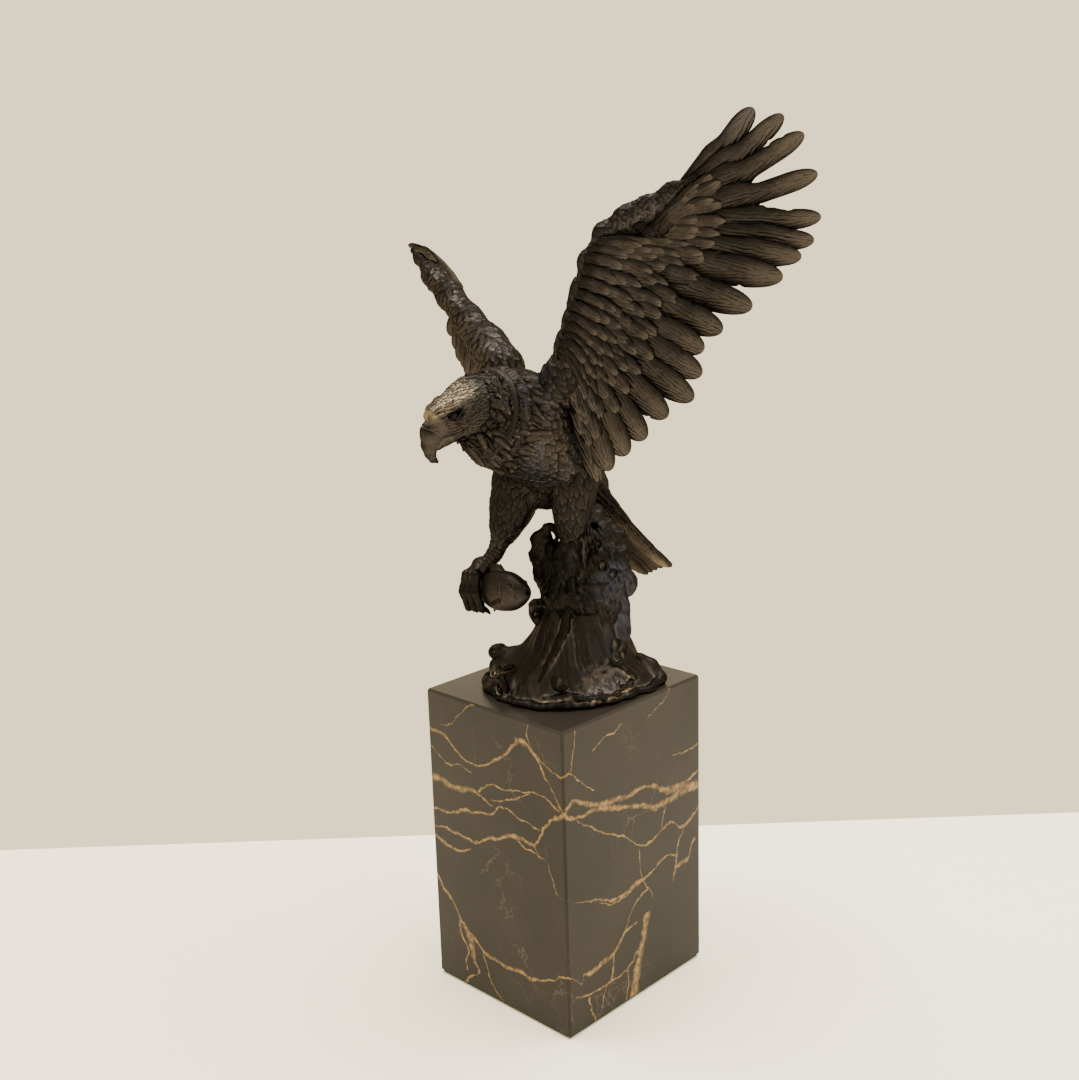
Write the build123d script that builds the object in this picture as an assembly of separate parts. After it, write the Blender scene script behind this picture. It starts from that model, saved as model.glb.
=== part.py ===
from build123d import *
import math
import os

# Bronze eagle that lands on a breaking wave with a fish in its right foot, on a marble plinth.
# Millimetres, +Z up, origin at the centre of the underside. The eagle faces -Y, so its left wing is on +X.
# The bronze is cast in sections that meet on sleeves and dowels; nothing on it moves.

# ---- Driving dimensions ----------------------------------------------------------------------------------

# Marble plinth
plinth_width = 100.0        # along X
plinth_depth = 110.0        # along Y
plinth_height = 169.0       # the marble block alone
plinth_chamfer = 1.2
felt_thickness = 1.0
felt_inset = 1.5            # how far the felt stays inside the marble's edge

# Studs that bolt the wave casting down
stud_diameter = 6.0
stud_pitch = 34.0           # between the two studs, along Y
stud_engagement = 14.0      # depth of thread in the casting
thread_clearance = 0.05     # radial, stud in boss and in nut
bore_clearance = 0.5        # radial, stud in marble
washer_diameter = 16.0
washer_thickness = 1.6
nut_across_flats = 10.0
nut_height = 5.0
recess_diameter = 20.0
recess_depth = 12.0
stud_tail = 2.0             # thread left showing below the nut
boss_wall = 4.0             # bronze around each stud

# Wave
wave_radius = 42.0          # footprint on the plinth
wave_neck_radius = 18.5
wave_height = 60.0          # plinth top to the sole of the standing foot
wave_wall = 5.0

# Eagle
torso_half_width = 24.0
torso_half_depth = 26.0
torso_wall = 5.0
neck_sleeve_diameter = 16.0
neck_sleeve_length = 9.0
head_half_width = 12.5
beak_length = 24.0          # along the hook, from the brow to the tip
beak_length_drawn = 24.0    # the length that the head's sections are placed for
wing_length = 158.0         # shoulder to the tip of the first primary
wing_chord = 58.0           # leading edge to the tips of the secondaries
flight_feathers = 17
covert_feathers = 10
feather_thickness = 2.6
tail_length = 66.0
tail_length_drawn = 66.0    # the length that the tail's tips are placed for
tail_feathers = 9
shank_radius = 4.6
toe_radius = 3.0
fish_length = 60.0
fish_half_height = 10.5
fish_half_width = 7.5

# Joints between the castings
joint_gap = 0.15            # brazing gap between two sections
dowel_diameter = 4.0
dowel_clearance = 0.05      # radial

# ---- Places worked out from the dimensions ---------------------------------------------------------------

marble_bottom = felt_thickness
plinth_top = felt_thickness + plinth_height
perch = plinth_top + wave_height            # height of the standing foot's sole
stud_places = [(4.0, -stud_pitch / 2), (4.0, stud_pitch / 2)]
recess_top = marble_bottom + recess_depth
boss_radius = stud_diameter / 2 + boss_wall

# Neck joint: centre, and the direction from the torso into the neck
neck_joint = Vector(0, -46, perch + 98)
neck_axis = Vector(0, -0.86, 0.26).normalized()

# Body axis from the shoulders down to the rump: (y, height above the perch, width share, depth share)
torso_tilt = Vector(0, 0.768, -0.640)
torso_sections = [
    (-40.0, 94.0, 0.86, 0.83),
    (-31.0, 89.0, 1.00, 1.00),
    (-18.0, 77.0, 1.02, 1.00),
    (-4.0, 64.5, 1.00, 0.92),
    (12.0, 51.0, 0.82, 0.70),
    (24.0, 41.0, 0.60, 0.48),
    (33.0, 33.5, 0.36, 0.30),
]

# Wave column: (height share, centre x, centre y, radius)
neck_centre = (15.0, 5.0)
wave_sections = [
    (0.00, 4.0, 0.0, wave_radius),
    (0.09, 4.0, 0.0, wave_radius - 2.5),
    (0.22, 5.5, 1.0, 0.55 * wave_radius + 0.45 * wave_neck_radius),
    (0.46, 9.0, 3.0, 0.20 * wave_radius + 0.80 * wave_neck_radius),
    (0.76, neck_centre[0], neck_centre[1], wave_neck_radius),
    (0.92, neck_centre[0] - 1.0, neck_centre[1] - 4.0, wave_neck_radius - 1.5),
    (1.00, neck_centre[0] - 1.5, neck_centre[1] - 6.0, wave_neck_radius - 4.0),
]


# ---- Helpers ---------------------------------------------------------------------------------------------

def up(x, y, height):
    """A point on the eagle, its height counted from the perch."""
    return Vector(x, y, perch + height)


def rod(start, end, radius):
    """A round bar between two points."""
    plane = Plane(origin=start, z_dir=end - start)
    return plane * Cylinder(radius, (end - start).length, align=(Align.CENTER, Align.CENTER, Align.MIN))


def chain(stations):
    """A tapering limb through (point, radius) stations, with a ball at each station."""
    pieces = [Pos(point) * Sphere(radius * 1.05) for point, radius in stations]
    for (start, r_start), (end, r_end) in zip(stations, stations[1:]):
        length = (end - start).length
        if abs(r_start - r_end) < 0.01:
            bone = Cylinder(r_start, length, align=(Align.CENTER, Align.CENTER, Align.MIN))
        else:
            bone = Cone(r_start, r_end, length, align=(Align.CENTER, Align.CENTER, Align.MIN))
        pieces.append(Plane(origin=start, z_dir=end - start) * bone)
    return Part() + pieces


def tube_loft(stations, grow=0.0):
    """A smooth body through ellipses: (centre, direction, half width along X, half depth)."""
    sections = []
    for centre, direction, half_width, half_depth in stations:
        plane = Plane(origin=centre, x_dir=Vector(1, 0, 0), z_dir=direction)
        sections.append(plane * Ellipse(half_width + grow, half_depth + grow))
    return loft(sections)


def between(points, share):
    """The point at a share from 0 to 1 of a list of equally spaced points."""
    place = share * (len(points) - 1)
    low = min(int(place), len(points) - 2)
    return points[low] + (points[low + 1] - points[low]) * (place - low)


def feather(root, tip, facing, width):
    """One flat feather with a rounded end, its face turned towards facing."""
    along = tip - root
    length = along.length
    along = along.normalized()
    normal = (facing - along * facing.dot(along)).normalized()
    half = width / 2
    swell = 0.35 * length
    cap = length - 0.8 * half
    side = Polyline((cap, half), (swell, half * 0.96), (0, half * 0.6), (0, -half * 0.6),
                    (swell, -half * 0.96), (cap, -half))
    end = ThreePointArc((cap, -half), (length, 0), (cap, half))
    face = make_face([side, end])
    plane = Plane(origin=root, x_dir=along, z_dir=normal)
    return plane * extrude(face, feather_thickness / 2, both=True)


def beyond(origin, direction):
    """Everything on the far side of a joint plane, to trim a casting flush."""
    breadth, reach = 90, 40
    block = Box(breadth, breadth, reach, align=(Align.CENTER, Align.CENTER, Align.MIN))
    return Plane(origin=origin, z_dir=direction) * block


def one_piece(shape):
    """The largest solid of a cut, so that no loose crumb stays with it."""
    return max(shape.solids(), key=lambda solid: solid.volume)


# ---- Plinth and fasteners --------------------------------------------------------------------------------

def felt_pad():
    """Sheet under the marble that covers the nut recesses."""
    return Box(plinth_width - 2 * felt_inset, plinth_depth - 2 * felt_inset, felt_thickness,
               align=(Align.CENTER, Align.CENTER, Align.MIN))


def marble_plinth():
    """Marble block with two stud bores, each with a nut recess underneath."""
    block = Pos(0, 0, marble_bottom) * Box(plinth_width, plinth_depth, plinth_height,
                                           align=(Align.CENTER, Align.CENTER, Align.MIN))
    block = chamfer(block.edges(), plinth_chamfer)
    for x, y in stud_places:
        bore = rod(Vector(x, y, 0), Vector(x, y, plinth_top + 1), stud_diameter / 2 + bore_clearance)
        recess = rod(Vector(x, y, 0), Vector(x, y, recess_top), recess_diameter / 2)
        block = block - bore - recess
    return block


def mounting_studs():
    """Threaded studs from below each nut up into the casting's bosses."""
    bottom = recess_top - washer_thickness - nut_height - stud_tail
    studs = []
    for x, y in stud_places:
        studs.append(rod(Vector(x, y, bottom), Vector(x, y, plinth_top + stud_engagement), stud_diameter / 2))
    return Compound(children=studs)


def mounting_washers():
    """Plain washers against the top of each recess."""
    hole = stud_diameter / 2 + bore_clearance
    washers = []
    for x, y in stud_places:
        disc = rod(Vector(x, y, recess_top - washer_thickness), Vector(x, y, recess_top), washer_diameter / 2)
        washers.append(disc - rod(Vector(x, y, 0), Vector(x, y, plinth_top), hole))
    return Compound(children=washers)


def mounting_nuts():
    """Hexagon nuts under the washers."""
    bottom = recess_top - washer_thickness - nut_height
    circumscribed = nut_across_flats / math.sqrt(3)
    nuts = []
    for x, y in stud_places:
        prism = Pos(x, y, bottom) * extrude(RegularPolygon(circumscribed, 6), nut_height)
        thread = rod(Vector(x, y, 0), Vector(x, y, plinth_top), stud_diameter / 2 + thread_clearance)
        nuts.append(prism - thread)
    return Compound(children=nuts)


# ---- Wave ------------------------------------------------------------------------------------------------

def wave_form(grow=0.0):
    """Outer form of the wave, from its spreading foot to the perch."""
    stations = []
    for share, x, y, radius in wave_sections:
        stations.append((Vector(x, y, plinth_top + share * wave_height), Vector(0, 0, 1), radius, radius))
    return tube_loft(stations, grow)


def wave_cavity():
    """Core of the hollow casting, open at the plinth."""
    stations = [(Vector(4.0, 0.0, plinth_top - 1), Vector(0, 0, 1), wave_radius - wave_wall,
                 wave_radius - wave_wall)]
    for share, x, y, radius in wave_sections[1:5]:
        core = radius - wave_wall - 1.5
        stations.append((Vector(x, y, plinth_top + share * wave_height - 1), Vector(0, 0, 1), core, core))
    return tube_loft(stations)


def wave_base(dowel_holes):
    """Hollow wave casting with a boss over each stud and lobes of water round its foot."""
    form = wave_form()
    for angle in range(10, 360, 50):
        reach = wave_radius - 3.0 + 3.0 * math.sin(math.radians(3 * angle))
        lobe = Vector(4.0 + reach * math.cos(math.radians(angle)), reach * math.sin(math.radians(angle)), 0)
        inner = Vector(4.0 + 0.55 * lobe.X, 0.62 * lobe.Y, plinth_top + 14)
        outer = Vector(lobe.X, lobe.Y, plinth_top + 4.5)
        form = form + chain([(inner, 7.0), (outer, 5.0)])
    tongue = [(up(8, -8, -2), 6.0), (up(1.0, -13.5, 7), 4.6), (up(-1.5, -12.5, 17), 3.6),
              (up(1.0, -12.0, 26), 2.4)]
    form = form + chain(tongue)
    below = Pos(0, 0, plinth_top - 50) * Box(4 * wave_radius, 4 * wave_radius, 100)
    form = form - below
    casting = form - wave_cavity()
    for x, y in stud_places:
        boss = rod(Vector(x, y, plinth_top), Vector(x, y, plinth_top + 0.62 * wave_height), boss_radius)
        casting = casting + (boss & wave_form())
    for x, y in stud_places:
        hole_top = plinth_top + stud_engagement + 2.0
        hole = rod(Vector(x, y, plinth_top - 1), Vector(x, y, hole_top), stud_diameter / 2 + thread_clearance)
        casting = casting - hole
    return one_piece(casting - dowel_holes)


def crest_curl():
    """Curl of the crest, which leaves the column towards the front and rolls over."""
    stations = [(up(3, -9, -20), 7.0), (up(-5, -13, -15), 4.8), (up(-11, -13, -15), 3.7),
                (up(-14, -12.5, -20), 2.6)]
    return one_piece(chain(stations) - wave_form(joint_gap))


def side_curl(solid_wave):
    """Curl that rises off the left flank of the wave and rolls outwards."""
    stations = [(Vector(-22, -14, plinth_top + 9), 6.0), (Vector(-31, -18, plinth_top + 16), 4.0),
                (Vector(-37, -20, plinth_top + 14), 3.0), (Vector(-39, -20.5, plinth_top + 9), 2.0)]
    return one_piece(chain(stations) - wave_form(joint_gap) - solid_wave)


def splash_column(neighbours):
    """Water thrown up behind the standing leg as far as the tail."""
    stations = [(up(21, 9, -16), 11.0), (up(25, 13, -4), 10.0), (up(25, 14, 8), 9.0), (up(20, 19, 18), 6.5),
                (up(12, 24, 27), 4.5)]
    column = chain(stations) - wave_form(joint_gap)
    for neighbour in neighbours:
        column = column - neighbour
    return one_piece(column)


# ---- Eagle's body ----------------------------------------------------------------------------------------

def torso_stations(inset=0.0):
    stations = [(neck_joint, -neck_axis, 16.0 - inset, 18.0 - inset)]
    for y, height, width_share, depth_share in torso_sections:
        half_width = width_share * torso_half_width - inset
        half_depth = depth_share * torso_half_depth - inset
        stations.append((up(0, y, height), torso_tilt, half_width, half_depth))
    return stations


def torso_form(grow=0.0):
    """Outer form of the torso, from the neck joint to the rump."""
    return tube_loft(torso_stations(), grow)


def torso(dowel_holes):
    """Hollow torso; the neck opening takes the head's sleeve and let the core out."""
    body = torso_form() - beyond(neck_joint, neck_axis) - tube_loft(torso_stations(torso_wall)[2:-2])
    bore_end = neck_joint - neck_axis * (neck_sleeve_length + 3.0)
    bore = rod(neck_joint + neck_axis, bore_end, neck_sleeve_diameter / 2)
    passage = rod(bore_end + neck_axis * 2, up(0, -16, 77), neck_sleeve_diameter / 2 - 1.0)
    return one_piece(body - bore - passage - dowel_holes)


def head():
    """Neck, head and hooked beak, with the sleeve that plugs into the torso."""
    base = neck_joint + neck_axis * joint_gap
    beak_share = beak_length / beak_length_drawn
    stations = [
        (base, neck_axis, 16.0, 18.0),
        (up(-1.2, -56, 99.5), Vector(-0.1, -0.95, 0.1), 1.16 * head_half_width, 15.0),
        (up(-4.0, -67, 97.5), Vector(-0.25, -0.9, -0.25), head_half_width, 12.8),
        (up(-6.5, -75, 93.0), Vector(-0.25, -0.8, -0.5), 0.68 * head_half_width, 9.5),
        (up(-7.6, -79.5, 93.0 - 6.0 * beak_share), Vector(-0.2, -0.5, -0.85), 5.0, 6.6),
        (up(-8.4, -81.0, 93.0 - 13.0 * beak_share), Vector(-0.05, 0.0, -1.0), 3.0, 4.2),
        (up(-8.6, -79.0, 93.0 - 20.5 * beak_share), Vector(0.0, 0.4, -0.9), 0.9, 1.2),
    ]
    sleeve = rod(base + neck_axis * 4, base - neck_axis * neck_sleeve_length,
                 neck_sleeve_diameter / 2 - joint_gap)
    return one_piece(tube_loft(stations) - beyond(base, -neck_axis) + sleeve)


# ---- Wings -----------------------------------------------------------------------------------------------

# Each wing lies on its own frame at the shoulder: along its span, back across its chord, and out of its
# upper side. Spans and chords are shares of wing_length and wing_chord; the third number is millimetres.
arm_line = [(0.02, 0.10, 1.0), (0.12, 0.00, 4.0), (0.24, -0.13, 6.0), (0.36, -0.24, 7.0), (0.47, -0.30, 7.0),
            (0.55, -0.27, 6.0), (0.68, -0.10, 3.0)]
arm_radii = [8.5, 7.5, 6.5, 6.0, 5.5, 4.8, 2.6]
root_line = [(0.68, -0.10, 3.0), (0.61, -0.18, 4.0), (0.53, -0.24, 6.0), (0.42, -0.18, 7.0),
             (0.30, -0.08, 6.0), (0.18, 0.02, 5.0), (0.09, 0.08, 3.0), (0.03, 0.14, 2.0)]
outer_tips = [(1.00, 0.00, 0.0), (1.03, 0.45, -1.0), (0.87, 0.95, -4.0), (0.67, 1.01, -6.0)]
raised_inner_tips = [(0.44, 0.90, -6.0), (0.22, 1.05, -6.0), (0.00, 0.97, -6.0), (-0.20, 0.90, -6.0)]
spread_inner_tips = [(0.47, 0.97, -6.0), (0.30, 1.07, -6.0), (0.14, 1.07, -6.0), (-0.02, 1.00, -6.0)]


class WingFrame:
    """Where a wing is: its shoulder, the way its leading edge runs and the way its underside faces."""

    def __init__(self, side, span, underside, inner_tips):
        self.side = side
        self.shoulder = up(side * (torso_half_width - 2.0), -28.5, 108.7)
        self.span = span.normalized()
        self.upper = -(underside - self.span * underside.dot(self.span)).normalized()
        self.chord = self.span.cross(self.upper) * -side
        self.tips = [self.at(place) for place in outer_tips + inner_tips]
        self.roots = [self.at(place) for place in root_line]

    def at(self, place):
        span_share, chord_share, rise = place
        point = self.shoulder + self.span * (span_share * wing_length)
        return point + self.chord * (chord_share * wing_chord) + self.upper * rise


left_frame = WingFrame(1, Vector(0.626, 0.168, 0.761), Vector(0.600, -0.730, -0.330), raised_inner_tips)
right_frame = WingFrame(-1, Vector(-0.846, 0.392, 0.362), Vector(-0.534, -0.635, -0.560), spread_inner_tips)


def wing(frame, neighbours, dowel_holes):
    """Arm, flight feathers and upper coverts, cast in one and fitted against the torso."""
    arm = [(frame.at(place), radius) for place, radius in zip(arm_line, arm_radii)]
    rear = up(frame.side * (torso_half_width + 1.0), -4, 86)
    blade = chain([(rear, 5.0)] + arm)
    for number in range(flight_feathers):
        share = number / (flight_feathers - 1)
        root = between(frame.roots, share)
        tip = between(frame.tips, share)
        facing = frame.upper + frame.chord * 0.12 * (1 - share)
        blade = blade + feather(root, tip, facing, 11.5 + 5.5 * min(1, 2.2 * share))
    for number in range(covert_feathers):
        share = 0.06 + 0.9 * number / (covert_feathers - 1)
        root = between(frame.roots, share) + frame.upper * 2.0
        tip = root + (between(frame.tips, share) - root) * 0.52 + frame.upper * 5.0
        blade = blade + feather(root, tip, frame.upper, 17.0)
    for neighbour in neighbours:
        blade = blade - neighbour
    return one_piece(blade - dowel_holes)


# ---- Tail ------------------------------------------------------------------------------------------------

tail_root = up(0, 30.5, 35.5)
tail_share = tail_length / tail_length_drawn
tail_tips = [
    tail_root + Vector(18, 37, -43) * tail_share,
    tail_root + Vector(6, 47, -49) * tail_share,
    tail_root + Vector(-7, 54, -54) * tail_share,
    tail_root + Vector(-17, 59, -58) * tail_share,
]


def tail_form(grow=0.0):
    """Coverts that wrap the tail's root."""
    end = tail_root + (between(tail_tips, 0.5) - tail_root) * 0.30
    return chain([(tail_root, 7.5 + grow), (end, 4.6 + grow)])


def tail_fan(dowel_holes):
    """Tail feathers in a fan, fused under their coverts."""
    fan = tail_form()
    for number in range(tail_feathers):
        share = number / (tail_feathers - 1)
        root = tail_root + Vector(8 - 16 * share, 3, -3)
        tip = between(tail_tips, share)
        facing = Vector(0.25 * (0.5 - share), 0.67, 0.74)
        fan = fan + feather(root, tip, facing, 8.5)
    return one_piece(fan - torso_form(joint_gap) - dowel_holes)


# ---- Legs and fish ---------------------------------------------------------------------------------------

left_hip = up(0.60 * torso_half_width, -4, 60)
left_hock = up(14.5, -10, 17)
left_foot_place = up(14.0, -9, 5)
right_hip = up(-0.66 * torso_half_width, -12, 60)
right_hock = up(-17.5, -28, 17)
palm = up(-22, -36.5, 5)

fish_axis = Vector(0.965, -0.17, 0.16).normalized()
fish_grip_share = 0.62      # how far from the nose the foot holds it
fish_middle = up(-21, -35.0, -4)
fish_nose = fish_middle + fish_axis * (fish_grip_share * fish_length)
fish_profile = [(0.02, 0.18), (0.10, 0.55), (0.24, 0.88), (0.42, 1.00), (0.60, 0.86), (0.76, 0.52),
                (0.86, 0.30)]


def fish_form(grow=0.0):
    """Body of the fish from the nose to the root of the tail fin."""
    stations = []
    for share, swell in fish_profile:
        centre = fish_nose - fish_axis * (share * fish_length)
        plane = Plane(origin=centre, x_dir=fish_axis.cross(Vector(0, 0, 1)), z_dir=-fish_axis)
        stations.append(plane * Ellipse(swell * fish_half_width + grow, swell * fish_half_height + grow))
    return loft(stations)


def fish(dowel_holes):
    """Fish with its tail and back fins."""
    side = fish_axis.cross(Vector(0, 0, 1)).normalized()
    upright = side.cross(fish_axis).normalized()
    tail_start = fish_nose - fish_axis * (0.80 * fish_length)
    body = fish_form()
    for way in (1, -1):
        fin_tip = tail_start - fish_axis * (0.20 * fish_length) + upright * (way * 0.75 * fish_half_height)
        body = body + feather(tail_start, fin_tip, side, 7.0)
    back = fish_nose - fish_axis * (0.30 * fish_length) + upright * (0.80 * fish_half_height)
    body = body + feather(back, back - fish_axis * 8.0 + upright * 4.5, side, 5.0)
    return one_piece(body - dowel_holes)


def claw(knuckle, middle, tip):
    """A toe with its talon: pad, joint and point."""
    return chain([(knuckle, toe_radius), (middle, toe_radius * 0.8), (tip, toe_radius * 0.3)])


def left_leg(wave_solid, dowel_holes):
    """Feathered thigh, shank and spread foot that stands on the wave."""
    thigh = chain([(left_hip, 13.0), (up(14.5, -6, 42), 10.5), (up(15.0, -8, 26), 7.0)])
    shank = chain([(up(15.0, -8, 26), 6.0), (left_hock, shank_radius), (left_foot_place, shank_radius)])
    leg = thigh + shank
    toes = ((-8.0, -8.0, -3.0), (0.0, -13.0, -5.0), (8.0, -10.0, -2.0), (2.0, 11.0, 1.0))
    for reach_x, reach_y, drop in toes:
        middle = left_foot_place + Vector(0.6 * reach_x, 0.6 * reach_y, -1.0)
        tip = left_foot_place + Vector(reach_x, reach_y, drop - 3.0)
        leg = leg + claw(left_foot_place, middle, tip)
    return one_piece(leg - wave_solid - wave_form(joint_gap) - torso_form(joint_gap) - dowel_holes)


def right_leg(dowel_holes):
    """Feathered thigh, shank and the foot whose toes close round the fish."""
    thigh = chain([(right_hip, 13.5), (up(-16.5, -18, 40), 11.0), (up(-17.0, -24, 24), 7.5)])
    shank = chain([(up(-17.0, -24, 24), 6.5), (right_hock, shank_radius), (palm, shank_radius)])
    leg = thigh + shank
    side = fish_axis.cross(Vector(0, 0, 1)).normalized()
    grip = fish_half_height * 0.95 + toe_radius
    for shift, turn in ((-5.0, 1), (3.0, 1), (10.0, 1), (2.0, -1)):
        centre = fish_middle + fish_axis * shift
        knuckle = centre + side * (turn * grip * 0.80) + Vector(0, 0, grip * 0.55)
        middle = centre + side * (turn * grip * 0.95) - Vector(0, 0, grip * 0.25)
        tip = centre + side * (turn * grip * 0.45) - Vector(0, 0, grip * 0.95)
        leg = leg + chain([(palm, toe_radius), (knuckle, toe_radius), (middle, toe_radius * 0.85),
                           (tip, toe_radius * 0.45)])
    return one_piece(leg - fish_form(joint_gap) - torso_form(joint_gap) - dowel_holes)


# ---- Dowels ----------------------------------------------------------------------------------------------

def dowel_lines():
    """Axis of each dowel, by node name."""
    wing_lines = []
    for frame in (left_frame, right_frame):
        start = frame.at(arm_line[0])
        inner = Vector(frame.side * (torso_half_width - 16.0), start.Y, start.Z - 6)
        wing_lines.append((inner, start + (start - inner).normalized() * 5.0))
    hip_lines = [
        (up(8, -8, 66), up(14.5, -6, 42)),
        (up(-8, -14, 66), up(-16.3, -18, 42)),
    ]
    return {
        "wing_dowels": wing_lines,
        "hip_dowels": hip_lines,
        "tail_dowel": [(tail_root - Vector(0, 9, -8), tail_root + Vector(0, 7, -7.5))],
        "foot_dowel": [(left_foot_place - Vector(0, 0, 15), left_foot_place + Vector(0, 0, 9))],
        "fish_dowel": [(palm + Vector(0.5, 1, 4), palm + Vector(-0.5, 0.5, -9))],
    }


def dowels(lines, radius):
    bars = [rod(start, end, radius) for start, end in lines]
    return bars[0] if len(bars) == 1 else Compound(children=bars)


def all_dowel_holes():
    """Every dowel a little larger, to cut from the castings, with relief at both ends."""
    holes = None
    for lines in dowel_lines().values():
        for start, end in lines:
            reach = (end - start).normalized() * 0.5
            hole = rod(start - reach, end + reach, dowel_diameter / 2 + dowel_clearance)
            holes = hole if holes is None else holes + hole
    return holes


# ---- Assembly --------------------------------------------------------------------------------------------

def build():
    holes = all_dowel_holes()
    torso_skin = torso_form(joint_gap)
    parts = {
        "felt_pad": felt_pad(),
        "marble_plinth": marble_plinth(),
        "mounting_studs": mounting_studs(),
        "mounting_washers": mounting_washers(),
        "mounting_nuts": mounting_nuts(),
        "torso": torso(holes),
        "head": head(),
        "tail_fan": tail_fan(holes),
        "fish": fish(holes),
        "wave_base": wave_base(holes),
        "crest_curl": crest_curl(),
    }
    parts["left_leg"] = left_leg(parts["wave_base"], holes)
    parts["right_leg"] = right_leg(holes)
    parts["side_curl"] = side_curl(parts["wave_base"])
    splash_neighbours = [torso_skin, parts["tail_fan"], parts["left_leg"], parts["wave_base"]]
    parts["splash_column"] = splash_column(splash_neighbours)
    parts["left_wing"] = wing(left_frame, [torso_skin, parts["left_leg"], parts["head"]], holes)
    parts["right_wing"] = wing(right_frame, [torso_skin, parts["right_leg"], parts["head"]], holes)
    for name, lines in dowel_lines().items():
        parts[name] = dowels(lines, dowel_diameter / 2)
    return parts


os.makedirs("parts", exist_ok=True)
for node_name, node_shape in build().items():
    export_step(node_shape, f"parts/{node_name}.step")
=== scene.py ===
import math

import bpy
import numpy as np
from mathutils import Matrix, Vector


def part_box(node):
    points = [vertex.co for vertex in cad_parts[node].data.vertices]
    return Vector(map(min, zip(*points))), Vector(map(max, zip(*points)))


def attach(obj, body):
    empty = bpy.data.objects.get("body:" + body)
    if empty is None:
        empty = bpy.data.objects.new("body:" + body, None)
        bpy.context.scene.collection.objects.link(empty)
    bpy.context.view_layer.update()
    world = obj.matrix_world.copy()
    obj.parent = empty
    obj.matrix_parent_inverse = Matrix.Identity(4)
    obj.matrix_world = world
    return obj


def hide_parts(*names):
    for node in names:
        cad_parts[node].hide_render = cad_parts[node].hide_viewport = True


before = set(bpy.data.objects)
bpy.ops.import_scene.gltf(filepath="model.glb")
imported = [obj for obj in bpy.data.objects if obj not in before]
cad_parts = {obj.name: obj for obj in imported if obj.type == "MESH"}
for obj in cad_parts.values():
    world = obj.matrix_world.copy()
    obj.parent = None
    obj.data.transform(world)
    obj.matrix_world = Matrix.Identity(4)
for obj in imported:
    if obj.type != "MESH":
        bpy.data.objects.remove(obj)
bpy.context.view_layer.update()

import openvdb
from mathutils import Matrix

# Looks of the bronze eagle. Shapes are worked out in millimetres in the CAD frame, +Z up, the eagle facing -Y,
# and go into Blender in metres.
MM = 0.001
plinth_box = np.array(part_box("marble_plinth")) / MM
PLINTH_TOP = plinth_box[1][2]
PERCH = PLINTH_TOP + 60.0        # height of the standing foot's sole


# ---- Vectors and curves --------------------------------------------------------------------------

def vec(*numbers):
    return np.array(numbers, float)


def up(x, y, height):
    """A point on the eagle, its height counted from the perch."""
    return vec(x, y, PERCH + height)


def unit(vectors):
    return vectors / np.maximum(np.linalg.norm(vectors, axis=-1, keepdims=True), 1e-9)


def curve(points, at):
    """Smooth curve through the rows of points, read at places from 0 to 1."""
    rows = np.asarray(points, float)
    last = len(rows) - 1
    place = np.clip(np.asarray(at, float), 0, 1) * last
    low = np.minimum(place.astype(int), last - 1)
    f = (place - low)[..., None]
    held = np.vstack([2 * rows[0] - rows[1], rows, 2 * rows[-1] - rows[-2]])
    a, b, c, d = held[low], held[low + 1], held[low + 2], held[low + 3]
    return 0.5 * (2 * b + (c - a) * f + (2 * a - 5 * b + 4 * c - d) * f ** 2 + (3 * b - a - 3 * c + d)
                  * f ** 3)


def smooth(low, high, x):
    """0 below low, 1 above high, an S between."""
    t = np.clip((x - low) / (high - low), 0, 1)
    return t * t * (3 - 2 * t)


def lattice_noise(points, size, seed):
    """Smooth noise from -1 to 1 with lumps of about the given size."""
    table = np.random.default_rng(seed).uniform(-1, 1, (16, 16, 16))
    place = points / size + 100.0
    low = np.floor(place).astype(int)
    f = place - low
    f = f * f * (3 - 2 * f)
    total = 0.0
    for i in (0, 1):
        for j in (0, 1):
            for k in (0, 1):
                weight = (np.abs(1 - i - f[..., 0]) * np.abs(1 - j - f[..., 1]) * np.abs(1 - k - f[..., 2]))
                total = total + weight * table[(low[..., 0] + i) % 16, (low[..., 1] + j) % 16,
                                               (low[..., 2] + k) % 16]
    return total


# ---- Clay: shapes as a distance field ------------------------------------------------------------

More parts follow.
